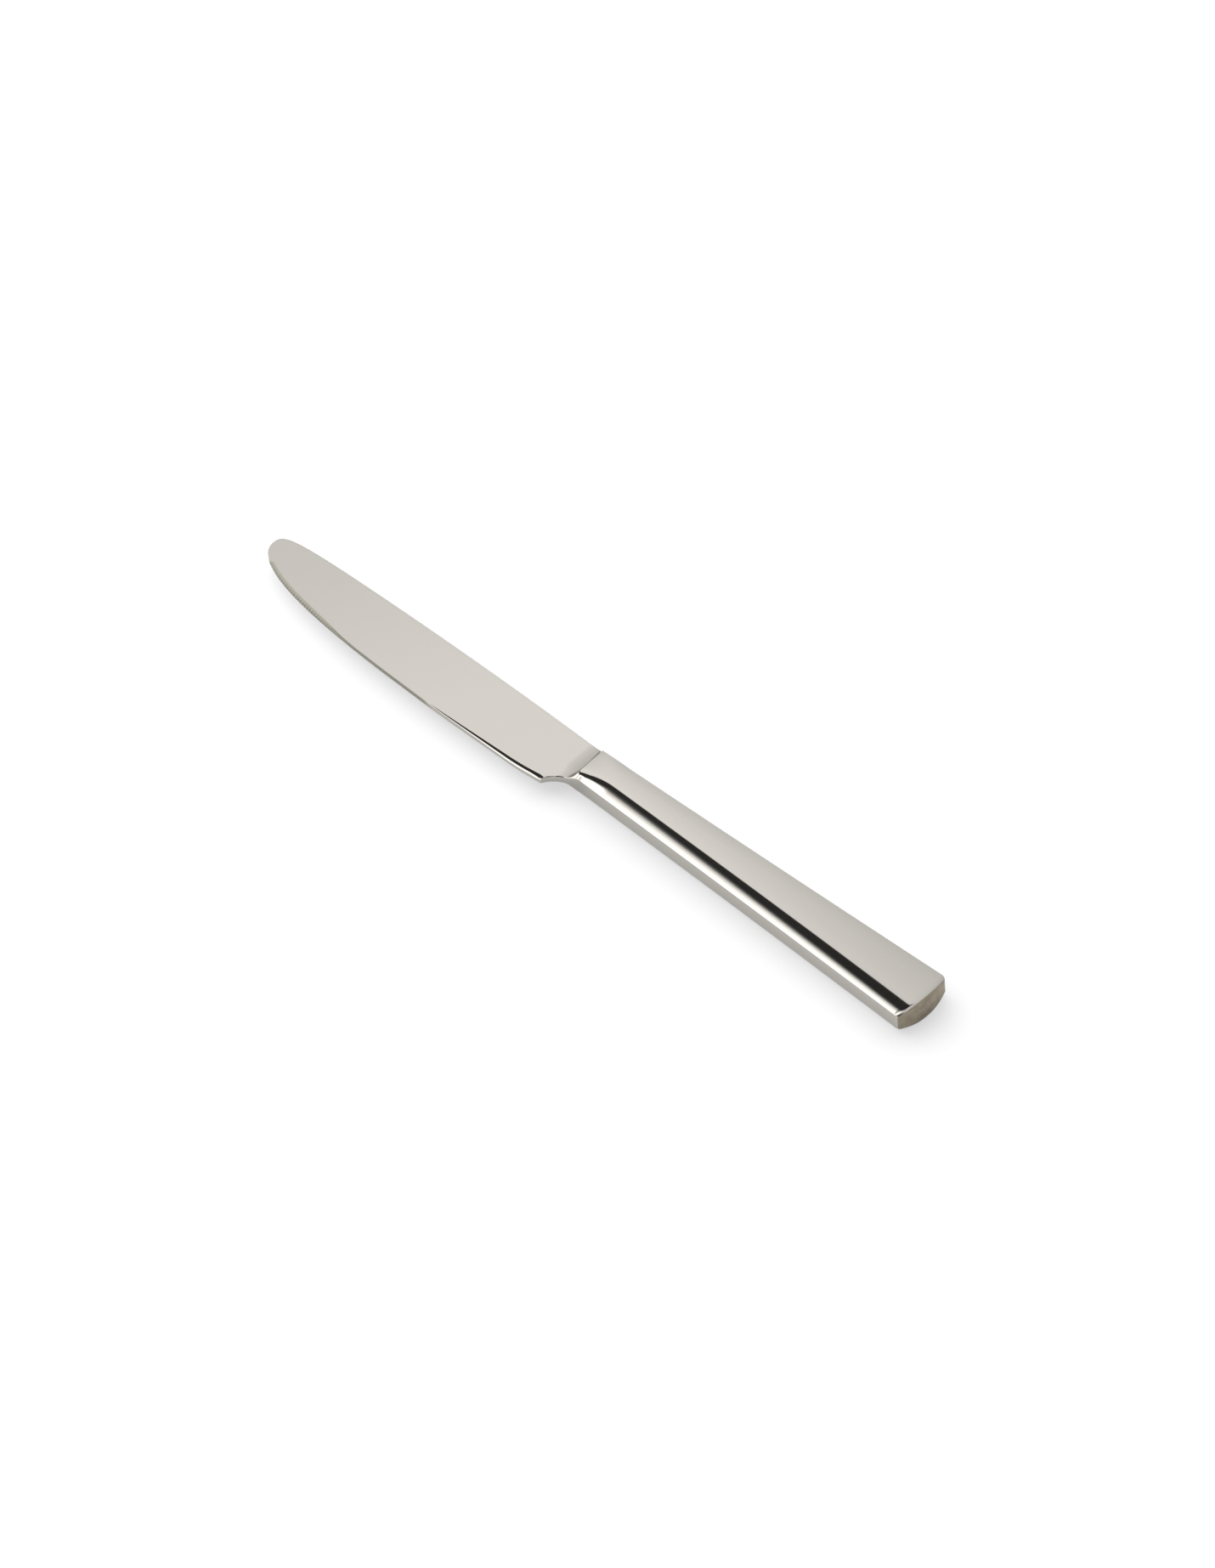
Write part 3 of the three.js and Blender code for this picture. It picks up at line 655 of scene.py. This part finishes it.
def blade_rings():
    """Rings of the forging from the joint to the tip, and the share of ground finish at each point.

    Each ring runs over the upper face from edge to spine, down the spine, back under, and round the edge.
    The rear edge is an upright wall with a small round. The front edge is a bevel on the upper side, fluted
    by the absolute sine of the teeth.
    """
    x, tooth = blade_stations()
    away = x - SHOULDER_X
    spine = spine_y(x)
    edge = edge_y(x)
    width = edge - spine
    half = face_height(x, edge)
    normal_x, normal_y = edge_normal(x)
    before_tip = 1.0 - smoothstep(TIP_X - BEVEL_END - BEVEL_FADE, TIP_X - BEVEL_END, x)
    ground = before_tip * smoothstep(*GRIND_COMES, away)
    widened = smoothstep(*BEVEL_WIDENS, away)
    deep = TOOTH_START_SHARE + (1.0 - TOOTH_START_SHARE) * widened
    bite = TOOTH_DEPTH * deep * before_tip * smoothstep(*TEETH_COME, away)
    flute = bite * np.abs(np.sin(np.pi * tooth))

    def inward(inset):
        """Height of the upper face at an inset from the edge."""
        return forged_height(x - normal_x * inset, edge - normal_y * inset, ground)

    # Rear edge: an upright wall with a small round above and below
    radius = HANDLE_ROUND + (HEEL_ROUND - HANDLE_ROUND) * smoothstep(*ROUNDS_CHANGE, away)
    radius = np.minimum(radius, EDGE_ROUND_MOST * width)
    slope = np.arctan((inward(PROBE_FAR) - inward(PROBE_NEAR)) / (PROBE_FAR - PROBE_NEAR))
    round_top = inward(radius * (1.0 - np.sin(slope)))
    round_in, round_z = corner(round_top, slope, radius, EDGE_ROUND_POINTS)
    wall_in = np.concatenate([round_in, round_in[:, ::-1]], axis=1)
    wall_z = np.concatenate([round_z, -round_z[:, ::-1]], axis=1)

    # Front edge: a fluted bevel down to the cutting edge, below the middle plane, and a narrow burr under it
    bevel_width = BEVEL_ROOT + (BEVEL_WIDTH - BEVEL_ROOT) * widened
    bevel_width = np.minimum(bevel_width, BEVEL_MOST * width)
    burr_width = np.minimum(BURR_WIDTH, BURR_MOST * width)
    down = np.linspace(0.0, 1.0, BEVEL_POINTS)[None, :]
    under = np.linspace(0.0, 1.0, BURR_POINTS + 1)[None, 1:]
    low_edge = CUTTING_HEIGHT * half
    sunk = FLUTE_SINK * flute * np.sin(np.pi * np.minimum(FLUTE_SPREAD * down, 0.5)) * down
    bevel_in = bevel_width + (flute - bevel_width) * down
    bevel_z = half + (low_edge - half) * down - sunk
    burr_in = flute + (burr_width - flute) * under
    burr_z = low_edge + (-half - low_edge) * under
    cut_in = np.concatenate([bevel_in, burr_in], axis=1)
    cut_z = np.concatenate([bevel_z, burr_z], axis=1)

    # The edge passes from the one to the other with the share of ground finish
    edge_in = wall_in + (cut_in - wall_in) * ground
    edge_z = wall_z + (cut_z - wall_z) * ground
    edge_x = x - normal_x * edge_in
    edge_side = edge - normal_y * edge_in

    # Spine: two small rounds and the flat between them
    fillet = HANDLE_ROUND + (SPINE_ROUND - HANDLE_ROUND) * smoothstep(*ROUNDS_CHANGE, away)
    fillet = np.minimum(fillet, SPINE_ROUND_MOST * width)
    rise = forged_height(x, spine + PROBE_FAR, ground) - forged_height(x, spine + PROBE_NEAR, ground)
    spine_slope = np.arctan(np.maximum(rise, 0.0) / (PROBE_FAR - PROBE_NEAR))
    spine_top = forged_height(x, spine + fillet * (1.0 - np.sin(spine_slope)), ground)
    spine_in, spine_z = corner(spine_top, spine_slope, fillet, SPINE_ROUND_POINTS)
    spine_side = spine + np.concatenate([spine_in, spine_in[:, ::-1]], axis=1)
    spine_z = np.concatenate([spine_z, -spine_z[:, ::-1]], axis=1)

    # Faces between the edge and the spine: points close together over a strip at the edge, then wider apart
    strip = np.maximum(border_width(x), STRIP_LEAST)
    ribbon_strip = (RIBBON_WIDTH + STRIP_MARGIN) * (1.0 - smoothstep(*STRIP_NARROWS, away))
    strip = np.minimum(np.maximum(strip, ribbon_strip), STRIP_MOST * width)
    strip_in = edge_in[:, :1] + strip * np.linspace(0.0, 1.0, STRIP_POINTS + 1)[None, 1:]
    strip_x = x - normal_x * strip_in
    strip_y = edge - normal_y * strip_in
    across = np.linspace(0.0, 1.0, FLAT_POINTS + 2)[None, 1:-1]
    flat_x = strip_x[:, -1:] + (x - strip_x[:, -1:]) * across
    flat_y = strip_y[:, -1:] + (spine_side[:, :1] - strip_y[:, -1:]) * across
    face_x = np.concatenate([strip_x, flat_x], axis=1)
    face_y = np.concatenate([strip_y, flat_y], axis=1)
    face_z = forged_height(face_x, face_y, ground)

    spine_x = x + 0.0 * spine_side
    ring_x = np.concatenate([face_x, spine_x, face_x[:, ::-1], edge_x[:, ::-1]], axis=1)
    ring_y = np.concatenate([face_y, spine_side, face_y[:, ::-1], edge_side[:, ::-1]], axis=1)
    ring_z = np.concatenate([face_z, spine_z, -face_z[:, ::-1], edge_z[:, ::-1]], axis=1)
    rings = np.stack([ring_x, ring_y, ring_z], axis=-1)
    mask = np.zeros(ring_z.shape)
    mask[:, -edge_z.shape[1] :] = np.minimum(ground / GROUND_FULL, 1.0)
    return rings, mask


def tang_rings(template):
    """Rings of the tang, with the points of the blade's first ring pressed onto a flat bar.

    Its width falls evenly to the end, less a half circle at each notch.
    """
    front = JOINT_X
    back = JOINT_X - TANG_LENGTH
    notch = JOINT_X - TANG_NOTCH_PLACE * TANG_LENGTH
    rear_x = np.linspace(back, notch - TANG_NOTCH_CLEAR, TANG_REAR_STATIONS)
    round_x = notch + TANG_NOTCH_RADIUS * np.cos(np.linspace(np.pi, 0.0, TANG_NOTCH_STATIONS))
    front_x = np.linspace(notch + TANG_NOTCH_CLEAR, front, TANG_FRONT_STATIONS)
    x = np.concatenate([rear_x, round_x, front_x])[:, None]
    bar = TANG_ROOT_WIDTH + (TANG_END_WIDTH - TANG_ROOT_WIDTH) * (front - x) / TANG_LENGTH
    bite = np.sqrt(np.clip(TANG_NOTCH_RADIUS**2 - (x - notch) ** 2, 0.0, None))
    half = bar / 2.0 - bite
    flat_y = template[None, :, 1] - template[:, 1].mean()
    flat_y = flat_y / np.abs(flat_y).max()
    flat_z = template[None, :, 2] / np.abs(template[:, 2]).max()
    y = half * np.clip(TANG_SIDE_PRESS * flat_y, -1.0, 1.0)
    z = TANG_THICKNESS / 2.0 * np.clip(TANG_FACE_PRESS * flat_z, -1.0, 1.0)
    return stack(x, y, z + 0.0 * y)


# Colours of the materials
STEEL_LIGHT = "#D1CDC6"
STEEL_DARK = "#CECAC3"
BRAZE_LIGHT = "#D2CCC0"
BRAZE_DARK = "#CFC9BC"
GRIND_LIGHT = "#A3A095"
GRIND_DARK = "#969388"
# The end face's two tones: a dull ground finish, darkened with painted shade for the shadowed table that it
# mirrors
END_SHADED_LIGHT = "#AFA593"
END_SHADED_DARK = "#8B8271"
END_STREAK = "#B9AF9D"
RESIN = "#8E877C"

# Patterns, as how many there are to a millimetre: hairlines 20 mm long and about 0.15 mm apart,
# streaks about 3 mm long and 0.7 mm apart, and clouds about 2.4 mm wide
HAIR_ALONG = 0.05
HAIR_ACROSS = 6.6
STREAK_ALONG = 0.3
STREAK_ACROSS = 1.5
CLOUD_COUNT = 0.42

# The range that a noise mostly covers
NOISE_LOW = 0.3
NOISE_HIGH = 0.7


def linear(code):
    """An sRGB hex colour as linear red, green, blue and alpha."""
    values = np.array([int(code[i : i + 2], 16) for i in (1, 3, 5)]) / 255.0
    low = values / 12.92
    high = ((values + 0.055) / 1.055) ** 2.4
    return (*np.where(values <= 0.04045, low, high).tolist(), 1.0)


def add(tree, kind, inputs=None, **settings):
    """Adds a node with its settings, and sets or links its inputs by name or number."""
    made = tree.nodes.new(kind)
    for name, value in settings.items():
        setattr(made, name, value)
    for name, value in (inputs or {}).items():
        if isinstance(value, bpy.types.NodeSocket):
            tree.links.new(value, made.inputs[name])
        else:
            made.inputs[name].default_value = value
    return made


def new_material(name):
    """An empty node material with its output."""
    material = bpy.data.materials.new(name)
    material.use_nodes = True
    tree = material.node_tree
    tree.nodes.clear()
    return material, tree, tree.nodes.new("ShaderNodeOutputMaterial")


def noise(tree, vector, scale, detail):
    """A noise over a vector, as a value between 0 and 1."""
    inputs = {"Vector": vector, "Scale": scale, "Detail": detail}
    return add(tree, "ShaderNodeTexNoise", inputs).outputs["Fac"]


def hairlines(tree):
    """Fine polishing lines along the knife, as a value between 0 and 1."""
    place = add(tree, "ShaderNodeTexCoord").outputs["Object"]
    scale = (HAIR_ALONG / MM, HAIR_ACROSS / MM, HAIR_ACROSS / MM)
    lines = add(tree, "ShaderNodeMapping", {"Vector": place, "Scale": scale})
    return noise(tree, lines.outputs[0], 1.0, 2.0)


def between(tree, value, low, high):
    """The range that a noise mostly covers, spread from low to high."""
    inputs = {"Value": value, "From Min": NOISE_LOW, "From Max": NOISE_HIGH, "To Min": low, "To Max": high}
    return add(tree, "ShaderNodeMapRange", inputs).outputs[0]


def blend(tree, factor, low, high):
    """A colour between two colours: its inputs are numbers 0, 6 and 7 of a mix node that mixes colours."""
    return add(tree, "ShaderNodeMix", {0: factor, 6: low, 7: high}, data_type="RGBA").outputs[2]


def shade(tree, out, inputs):
    """Ends a material in one surface with the given inputs."""
    shader = add(tree, "ShaderNodeBsdfPrincipled", inputs)
    tree.links.new(shader.outputs[0], out.inputs["Surface"])


def steel(name, light, dark, smooth, rough):
    """Polished metal with hairlines.

    Along them its colour varies between light and dark, and its roughness between smooth and rough.
    """
    material, tree, out = new_material(name)
    hair = hairlines(tree)
    colour = blend(tree, hair, linear(light), linear(dark))
    shade(tree, out, {"Base Color": colour, "Metallic": 1.0, "Roughness": between(tree, hair, smooth, rough)})
    return material


def blade_steel():
    """The blade: mirror polish like the handle, and a matt grey grind where the ground share is 1."""
    material, tree, out = new_material("mirror_polished_blade_steel")
    hair = hairlines(tree)
    ground = add(tree, "ShaderNodeAttribute", attribute_name="ground").outputs["Fac"]
    polish = blend(tree, hair, linear(STEEL_LIGHT), linear(STEEL_DARK))
    grind = blend(tree, hair, linear(GRIND_LIGHT), linear(GRIND_DARK))
    colour = blend(tree, ground, polish, grind)
    matt = add(tree, "ShaderNodeMapRange", {"Value": ground, "To Min": 0.045, "To Max": 0.42})
    shade(tree, out, {"Base Color": colour, "Metallic": 1.0, "Roughness": matt.outputs[0]})
    return material


def dull_end_face_with_painted_shade():
    """The butt's end face: fine ground steel, dull, with clouds and faint cross streaks; its dark brownish
    grey is partly painted shade, for the shadowed table that the face mirrors.
    """
    material, tree, out = new_material("dull_ground_steel_end_painted_shade")
    place = add(tree, "ShaderNodeTexCoord").outputs["Object"]
    scale = (STREAK_ACROSS / MM, STREAK_ALONG / MM, STREAK_ACROSS / MM)
    drawn = add(tree, "ShaderNodeMapping", {"Vector": place, "Scale": scale})
    streak = noise(tree, drawn.outputs[0], 1.0, 3.0)
    cloud = noise(tree, place, CLOUD_COUNT / MM, 3.0)
    tone = blend(tree, between(tree, cloud, 0.0, 1.0), linear(END_SHADED_LIGHT), linear(END_SHADED_DARK))
    colour = blend(tree, between(tree, streak, 0.0, 0.5), tone, linear(END_STREAK))
    shade(tree, out, {"Base Color": colour, "Metallic": 1.0, "Roughness": between(tree, streak, 0.38, 0.52)})
    return material


def cast_resin():
    """The filler: matt brown-grey cast resin."""
    material, tree, out = new_material("cast_resin")
    shade(tree, out, {"Base Color": linear(RESIN), "Roughness": 0.7})
    return material


# Stainless steel of the handle: a clear, faintly warm mirror
polished = steel("mirror_polished_stainless_steel", STEEL_LIGHT, STEEL_DARK, smooth=0.03, rough=0.06)
# Silver braze: polished flush with the steel, and only a shade yellower
braze = steel("polished_silver_braze", BRAZE_LIGHT, BRAZE_DARK, smooth=0.05, rough=0.08)
blade_finish = blade_steel()
end_finish_and_shade = dull_end_face_with_painted_shade()

# Blade, with its tang
blade_points, ground_share = blade_rings()
tang_points = tang_rings(blade_points[0])
blade_mesh = grid_mesh("blade_forging", np.concatenate([tang_points, blade_points]), "fill", "fill")
tang_share = np.zeros(tang_points.shape[:2])
ground_values = np.concatenate([tang_share, ground_share]).ravel()
blade_mesh.attributes.new("ground", "FLOAT", "POINT").data.foreach_set("value", ground_values)
finish_piece(blade_mesh, "root", blade_finish, "blade", slot="polished_steel")

# Handle: two shells, the braze in their seams, the butt cap and the two braze rings
upper_mesh = grid_mesh("handle_shell_upper", shell_rings(1), "strip", "strip")
finish_piece(upper_mesh, "root", polished, "upper_shell", slot="polished_steel")
lower_mesh = grid_mesh("handle_shell_lower", shell_rings(-1), "strip", "strip")
finish_piece(lower_mesh, "root", polished, "lower_shell", slot="polished_steel")
for side, node in ((1, "edge_seam_braze"), (-1, "spine_seam_braze")):
    seam_mesh = grid_mesh(node + "_strip", seam_rings(side), "fill", "fill")
    finish_piece(seam_mesh, "root", braze, node, slot="silver_braze")
cap_mesh = grid_mesh("butt_end_cap", cap_rings(), "fill", "fill")
finish_piece(cap_mesh, "root", polished, "butt_cap", slot="ground_steel")
for back, front, node in ((SHELL_FRONT_X, JOINT_X, "mouth_braze"), (CAP_X, SHELL_BACK_X, "cap_braze")):
    ring_mesh = grid_mesh(node + "_ring", braze_rings(back, front))
    finish_piece(ring_mesh, "root", braze, node, slot="silver_braze")

# The end face's quads come first in the cap, and its middle is the last face but one
# The end face takes the dull ground finish, darkened with painted shade
cap_mesh.materials.append(end_finish_and_shade)
end_faces = np.zeros(len(cap_mesh.polygons), np.int32)
end_faces[: END_FACE_RINGS * section_ring(0.0, 0.0).shape[1]] = 1
end_faces[-2] = 1
cap_mesh.polygons.foreach_set("material_index", end_faces)

# Filler: the solid itself
filler_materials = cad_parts["tang_filler"].data.materials
filler_materials.clear()
filler_materials.append(cast_resin())

WHITE = (1.0, 1.0, 1.0, 1.0)

# Half the width of the table, in metres
TABLE_REACH = 3.0


def glowing_matt(tree, grey, strength):
    """A matt grey surface that also glows white, as a table does in an overexposed picture."""
    matt = add(tree, "ShaderNodeBsdfDiffuse", {"Color": (grey, grey, grey, 1.0)})
    glow = add(tree, "ShaderNodeEmission", {"Color": WHITE, "Strength": strength})
    return add(tree, "ShaderNodeAddShader", {0: matt.outputs[0], 1: glow.outputs[0]}).outputs[0]


def white_table():
    """A white table top that is brighter to the camera than to the steel."""
    mesh = bpy.data.meshes.new("table_top")
    corners = [(-1, -1, 0), (1, -1, 0), (1, 1, 0), (-1, 1, 0)]
    mesh.from_pydata((TABLE_REACH * np.array(corners)).tolist(), [], [(0, 1, 2, 3)])
    material, tree, out = new_material("white_table")
    rays = add(tree, "ShaderNodeLightPath").outputs
    mirrored = glowing_matt(tree, grey=0.52, strength=0.3)
    seen = glowing_matt(tree, grey=0.4, strength=0.6)
    table = add(tree, "ShaderNodeMixShader", {0: rays["Is Camera Ray"], 1: mirrored, 2: seen})
    tree.links.new(table.outputs[0], out.inputs["Surface"])
    mesh.materials.append(material)
    return bpy.data.objects.new("table_top", mesh)


floor = white_table()
bpy.context.scene.collection.objects.link(floor)


def ramp(tree, value, low, high, stops):
    """A colour ramp of grey levels over a value, with its stops given as value and level."""
    place = add(tree, "ShaderNodeMapRange", {"Value": value, "From Min": low, "From Max": high})
    made = add(tree, "ShaderNodeValToRGB", {"Fac": place.outputs[0]})
    elements = made.color_ramp.elements
    while len(elements) < len(stops):
        elements.new(0.5)
    for element, (at, level) in zip(elements, stops):
        element.position = (at - low) / (high - low)
        element.color = (level, level, level, 1.0)
    return made.outputs["Color"]


def math_node(tree, operation, *values):
    """One math node on values or sockets."""
    return add(tree, "ShaderNodeMath", dict(enumerate(values)), operation=operation).outputs[0]


# Levels of the grey backdrop over the lean of a direction, and along the knife
BACKDROP_STOPS = [
    (0.0, 0.033),
    (15.0, 0.033),
    (15.8, 1.06),
    (20.0, 1.07),
    (30.0, 1.03),
    (50.0, 0.96),
    (70.0, 0.84),
    (90.0, 0.75),
]
SIDE_STOPS = [
    (-0.2, 0.75),
    (0.38, 0.82),
    (0.404, 0.87),
    (0.437, 0.975),
    (0.47, 1.04),
    (0.5, 1.03),
    (0.535, 0.9),
    (0.6, 0.78),
    (0.8, 0.5),
    (0.9, 0.38),
    (1.0, 0.35),
]

# The white sheet: the lean of its edge along the knife, how wide the edge fades, its levels, and its ends
SHEET_EDGE = {"From Min": 0.4, "From Max": 0.55, "To Min": 5.05, "To Max": -9.5}
FADE_STOPS = [(0.3, 0.4), (0.404, 0.45), (0.437, 0.95), (0.457, 1.5), (0.47, 1.9), (0.6, 2.0)]
SHEET_STOPS = [
    (-60.0, 1.0),
    (-30.0, 1.7),
    (-6.0, 2.0),
    (-2.6, 1.55),
    (-0.2, 0.86),
    (2.1, 0.14),
    (4.5, 0.0),
    (10.0, 0.0),
]
SHEET_END_STOPS = [(0.0, 0.0), (0.15, 0.0), (0.25, 1.0), (0.57, 1.0), (0.64, 0.45), (1.0, 0.45)]

# Level of the grey room, the directions that it takes up, and how its dark opening slants
ROOM_LEVEL = 0.72
OFF_BACKDROP_STOPS = [(0.0, 1.0), (15.0, 1.0), (15.8, 0.0), (90.0, 0.0)]
BUTT_ROOM_STOPS = [(-1.0, 1.0), (0.12, 1.0), (0.2, 0.0), (1.0, 0.0)]
TIP_ROOM_STOPS = [(0.0, 0.0), (0.62, 0.0), (0.74, 1.0), (1.0, 1.0)]
OPENING_SLANT = 0.05
OPENING_OFFSET = 0.28
OPENING_TOP_STOPS = [(-0.1, 0.0), (0.1, 1.0)]
OPENING_END_STOPS = [(-1.0, 1.0), (-0.64, 1.0), (-0.56, 0.0), (0.0, 0.0)]
OPENING_FOOT_STOPS = [(-90.0, 1.0), (-34.0, 1.0), (-26.0, 0.0), (0.0, 0.0)]

# Soft light on the table: how it grows towards the tip, the far side and the horizon
SOFT_TIPWARD = 4.0
SOFT_FARWARD = -1.1
SOFT_EVEN = 0.6
SOFT_UPWARD = -1.3
SOFT_LOW = 1.8


def studio():
    """The world: a studio for the steel to mirror, a soft light for the table, and white for the camera.

    The studio is a grey backdrop behind the knife and a white sheet overhead, with a dark gap between them.
    The rest is a plain grey room, apart from a dark opening towards the butt that the choil mirrors. A
    direction is told by its X, along the knife, and by its lean, the angle from upright to the far side.
    """
    world = bpy.data.worlds.new("studio")
    world.use_nodes = True
    tree = world.node_tree
    tree.nodes.clear()
    direction = add(tree, "ShaderNodeTexCoord").outputs["Generated"]
    x, y, z = add(tree, "ShaderNodeSeparateXYZ", {0: direction}).outputs
    behind = math_node(tree, "MULTIPLY", y, -1.0)
    lean = math_node(tree, "DEGREES", math_node(tree, "ARCTAN2", behind, z))

    # Backdrop and sheet
    backdrop = ramp(tree, lean, 0.0, 90.0, BACKDROP_STOPS)
    sides = ramp(tree, x, -0.2, 1.0, SIDE_STOPS)
    sheet_edge = add(tree, "ShaderNodeMapRange", {"Value": x, **SHEET_EDGE}).outputs[0]
    fade = ramp(tree, x, 0.3, 0.6, FADE_STOPS)
    past = math_node(tree, "DIVIDE", math_node(tree, "SUBTRACT", lean, sheet_edge), fade)
    sheet = ramp(tree, past, -60.0, 10.0, SHEET_STOPS)
    sheet_end = ramp(tree, x, 0.0, 1.0, SHEET_END_STOPS)
    shaded = math_node(tree, "MULTIPLY", backdrop, sides)
    lit_sheet = math_node(tree, "MULTIPLY", sheet, sheet_end)

    # Grey room
    off_backdrop = ramp(tree, lean, 0.0, 90.0, OFF_BACKDROP_STOPS)
    butt_room = ramp(tree, x, -1.0, 1.0, BUTT_ROOM_STOPS)
    tip_room = ramp(tree, x, 0.0, 1.0, TIP_ROOM_STOPS)
    slant = math_node(tree, "MULTIPLY_ADD", lean, OPENING_SLANT, math_node(tree, "ADD", x, OPENING_OFFSET))
    above = ramp(tree, slant, -0.1, 0.1, OPENING_TOP_STOPS)
    beyond = ramp(tree, x, -1.0, 0.0, OPENING_END_STOPS)
    below = ramp(tree, lean, -90.0, 0.0, OPENING_FOOT_STOPS)
    around = math_node(tree, "MAXIMUM", above, math_node(tree, "MAXIMUM", beyond, below))
    room = math_node(tree, "MAXIMUM", math_node(tree, "MULTIPLY", butt_room, around), tip_room)
    grey_room = math_node(tree, "MULTIPLY", math_node(tree, "MULTIPLY", room, off_backdrop), ROOM_LEVEL)
    level = math_node(tree, "ADD", math_node(tree, "ADD", shaded, lit_sheet), grey_room)

    # Soft light
    from_far_side = math_node(tree, "MULTIPLY_ADD", y, SOFT_FARWARD, SOFT_EVEN)
    tipward = math_node(tree, "MULTIPLY_ADD", x, SOFT_TIPWARD, from_far_side)
    low_down = math_node(tree, "MULTIPLY_ADD", z, SOFT_UPWARD, SOFT_LOW)
    soft_level = math_node(tree, "MULTIPLY", math_node(tree, "MAXIMUM", tipward, 0.0), low_down)

    rays = add(tree, "ShaderNodeLightPath").outputs
    mirrored = add(tree, "ShaderNodeBackground", {"Color": WHITE, "Strength": level}).outputs[0]
    soft = add(tree, "ShaderNodeBackground", {"Color": WHITE, "Strength": soft_level}).outputs[0]
    plain = add(tree, "ShaderNodeBackground", {"Color": WHITE, "Strength": 1.0}).outputs[0]
    lit = add(tree, "ShaderNodeMixShader", {0: rays["Is Glossy Ray"], 1: soft, 2: mirrored}).outputs[0]
    seen = add(tree, "ShaderNodeMixShader", {0: rays["Is Camera Ray"], 1: lit, 2: plain}).outputs[0]
    add(tree, "ShaderNodeOutputWorld", {"Surface": seen})
    return world


# Camera: its line of sight in degrees, its distance in millimetres, the photograph's size in pixels, the
# pixels to a millimetre at the knife, and the place in the photograph of the point that it looks at
SIGHT_AZIMUTH = 223.668
SIGHT_ELEVATION = 47.358
SIGHT_DISTANCE = 1300.0
PHOTO_WIDTH = 1430.0
PHOTO_HEIGHT = 1845.0
SCALE_AT_KNIFE = 4.5366
AIM_COLUMN = 688.41
AIM_ROW = 913.49
SENSOR_WIDTH = 36.0


def photo_camera():
    """A camera on the photograph's line of sight, with the small shift of its framing."""
    turn = math.radians(SIGHT_AZIMUTH)
    rise = math.radians(SIGHT_ELEVATION)
    level = math.cos(rise)
    back_of_view = np.array([math.sin(turn) * level, -math.cos(turn) * level, math.sin(rise)])
    lens = bpy.data.cameras.new("photo_camera")
    lens.sensor_width = SENSOR_WIDTH
    lens.lens = SENSOR_WIDTH * SCALE_AT_KNIFE * SIGHT_DISTANCE / PHOTO_HEIGHT
    lens.shift_x = (PHOTO_WIDTH / 2.0 - AIM_COLUMN) / PHOTO_HEIGHT
    lens.shift_y = -(PHOTO_HEIGHT / 2.0 - AIM_ROW) / PHOTO_HEIGHT
    camera = bpy.data.objects.new("photo_camera", lens)
    camera.location = (back_of_view * SIGHT_DISTANCE + np.array([0.0, -CENTRE_Y, 0.0])) * MM
    camera.rotation_euler = (math.pi / 2.0 - rise, 0.0, turn)
    return camera


scene = bpy.context.scene
scene.world = studio()
scene.camera = photo_camera()
scene.collection.objects.link(scene.camera)
scene.view_settings.view_transform = "Standard"
scene.cycles.caustics_reflective = False
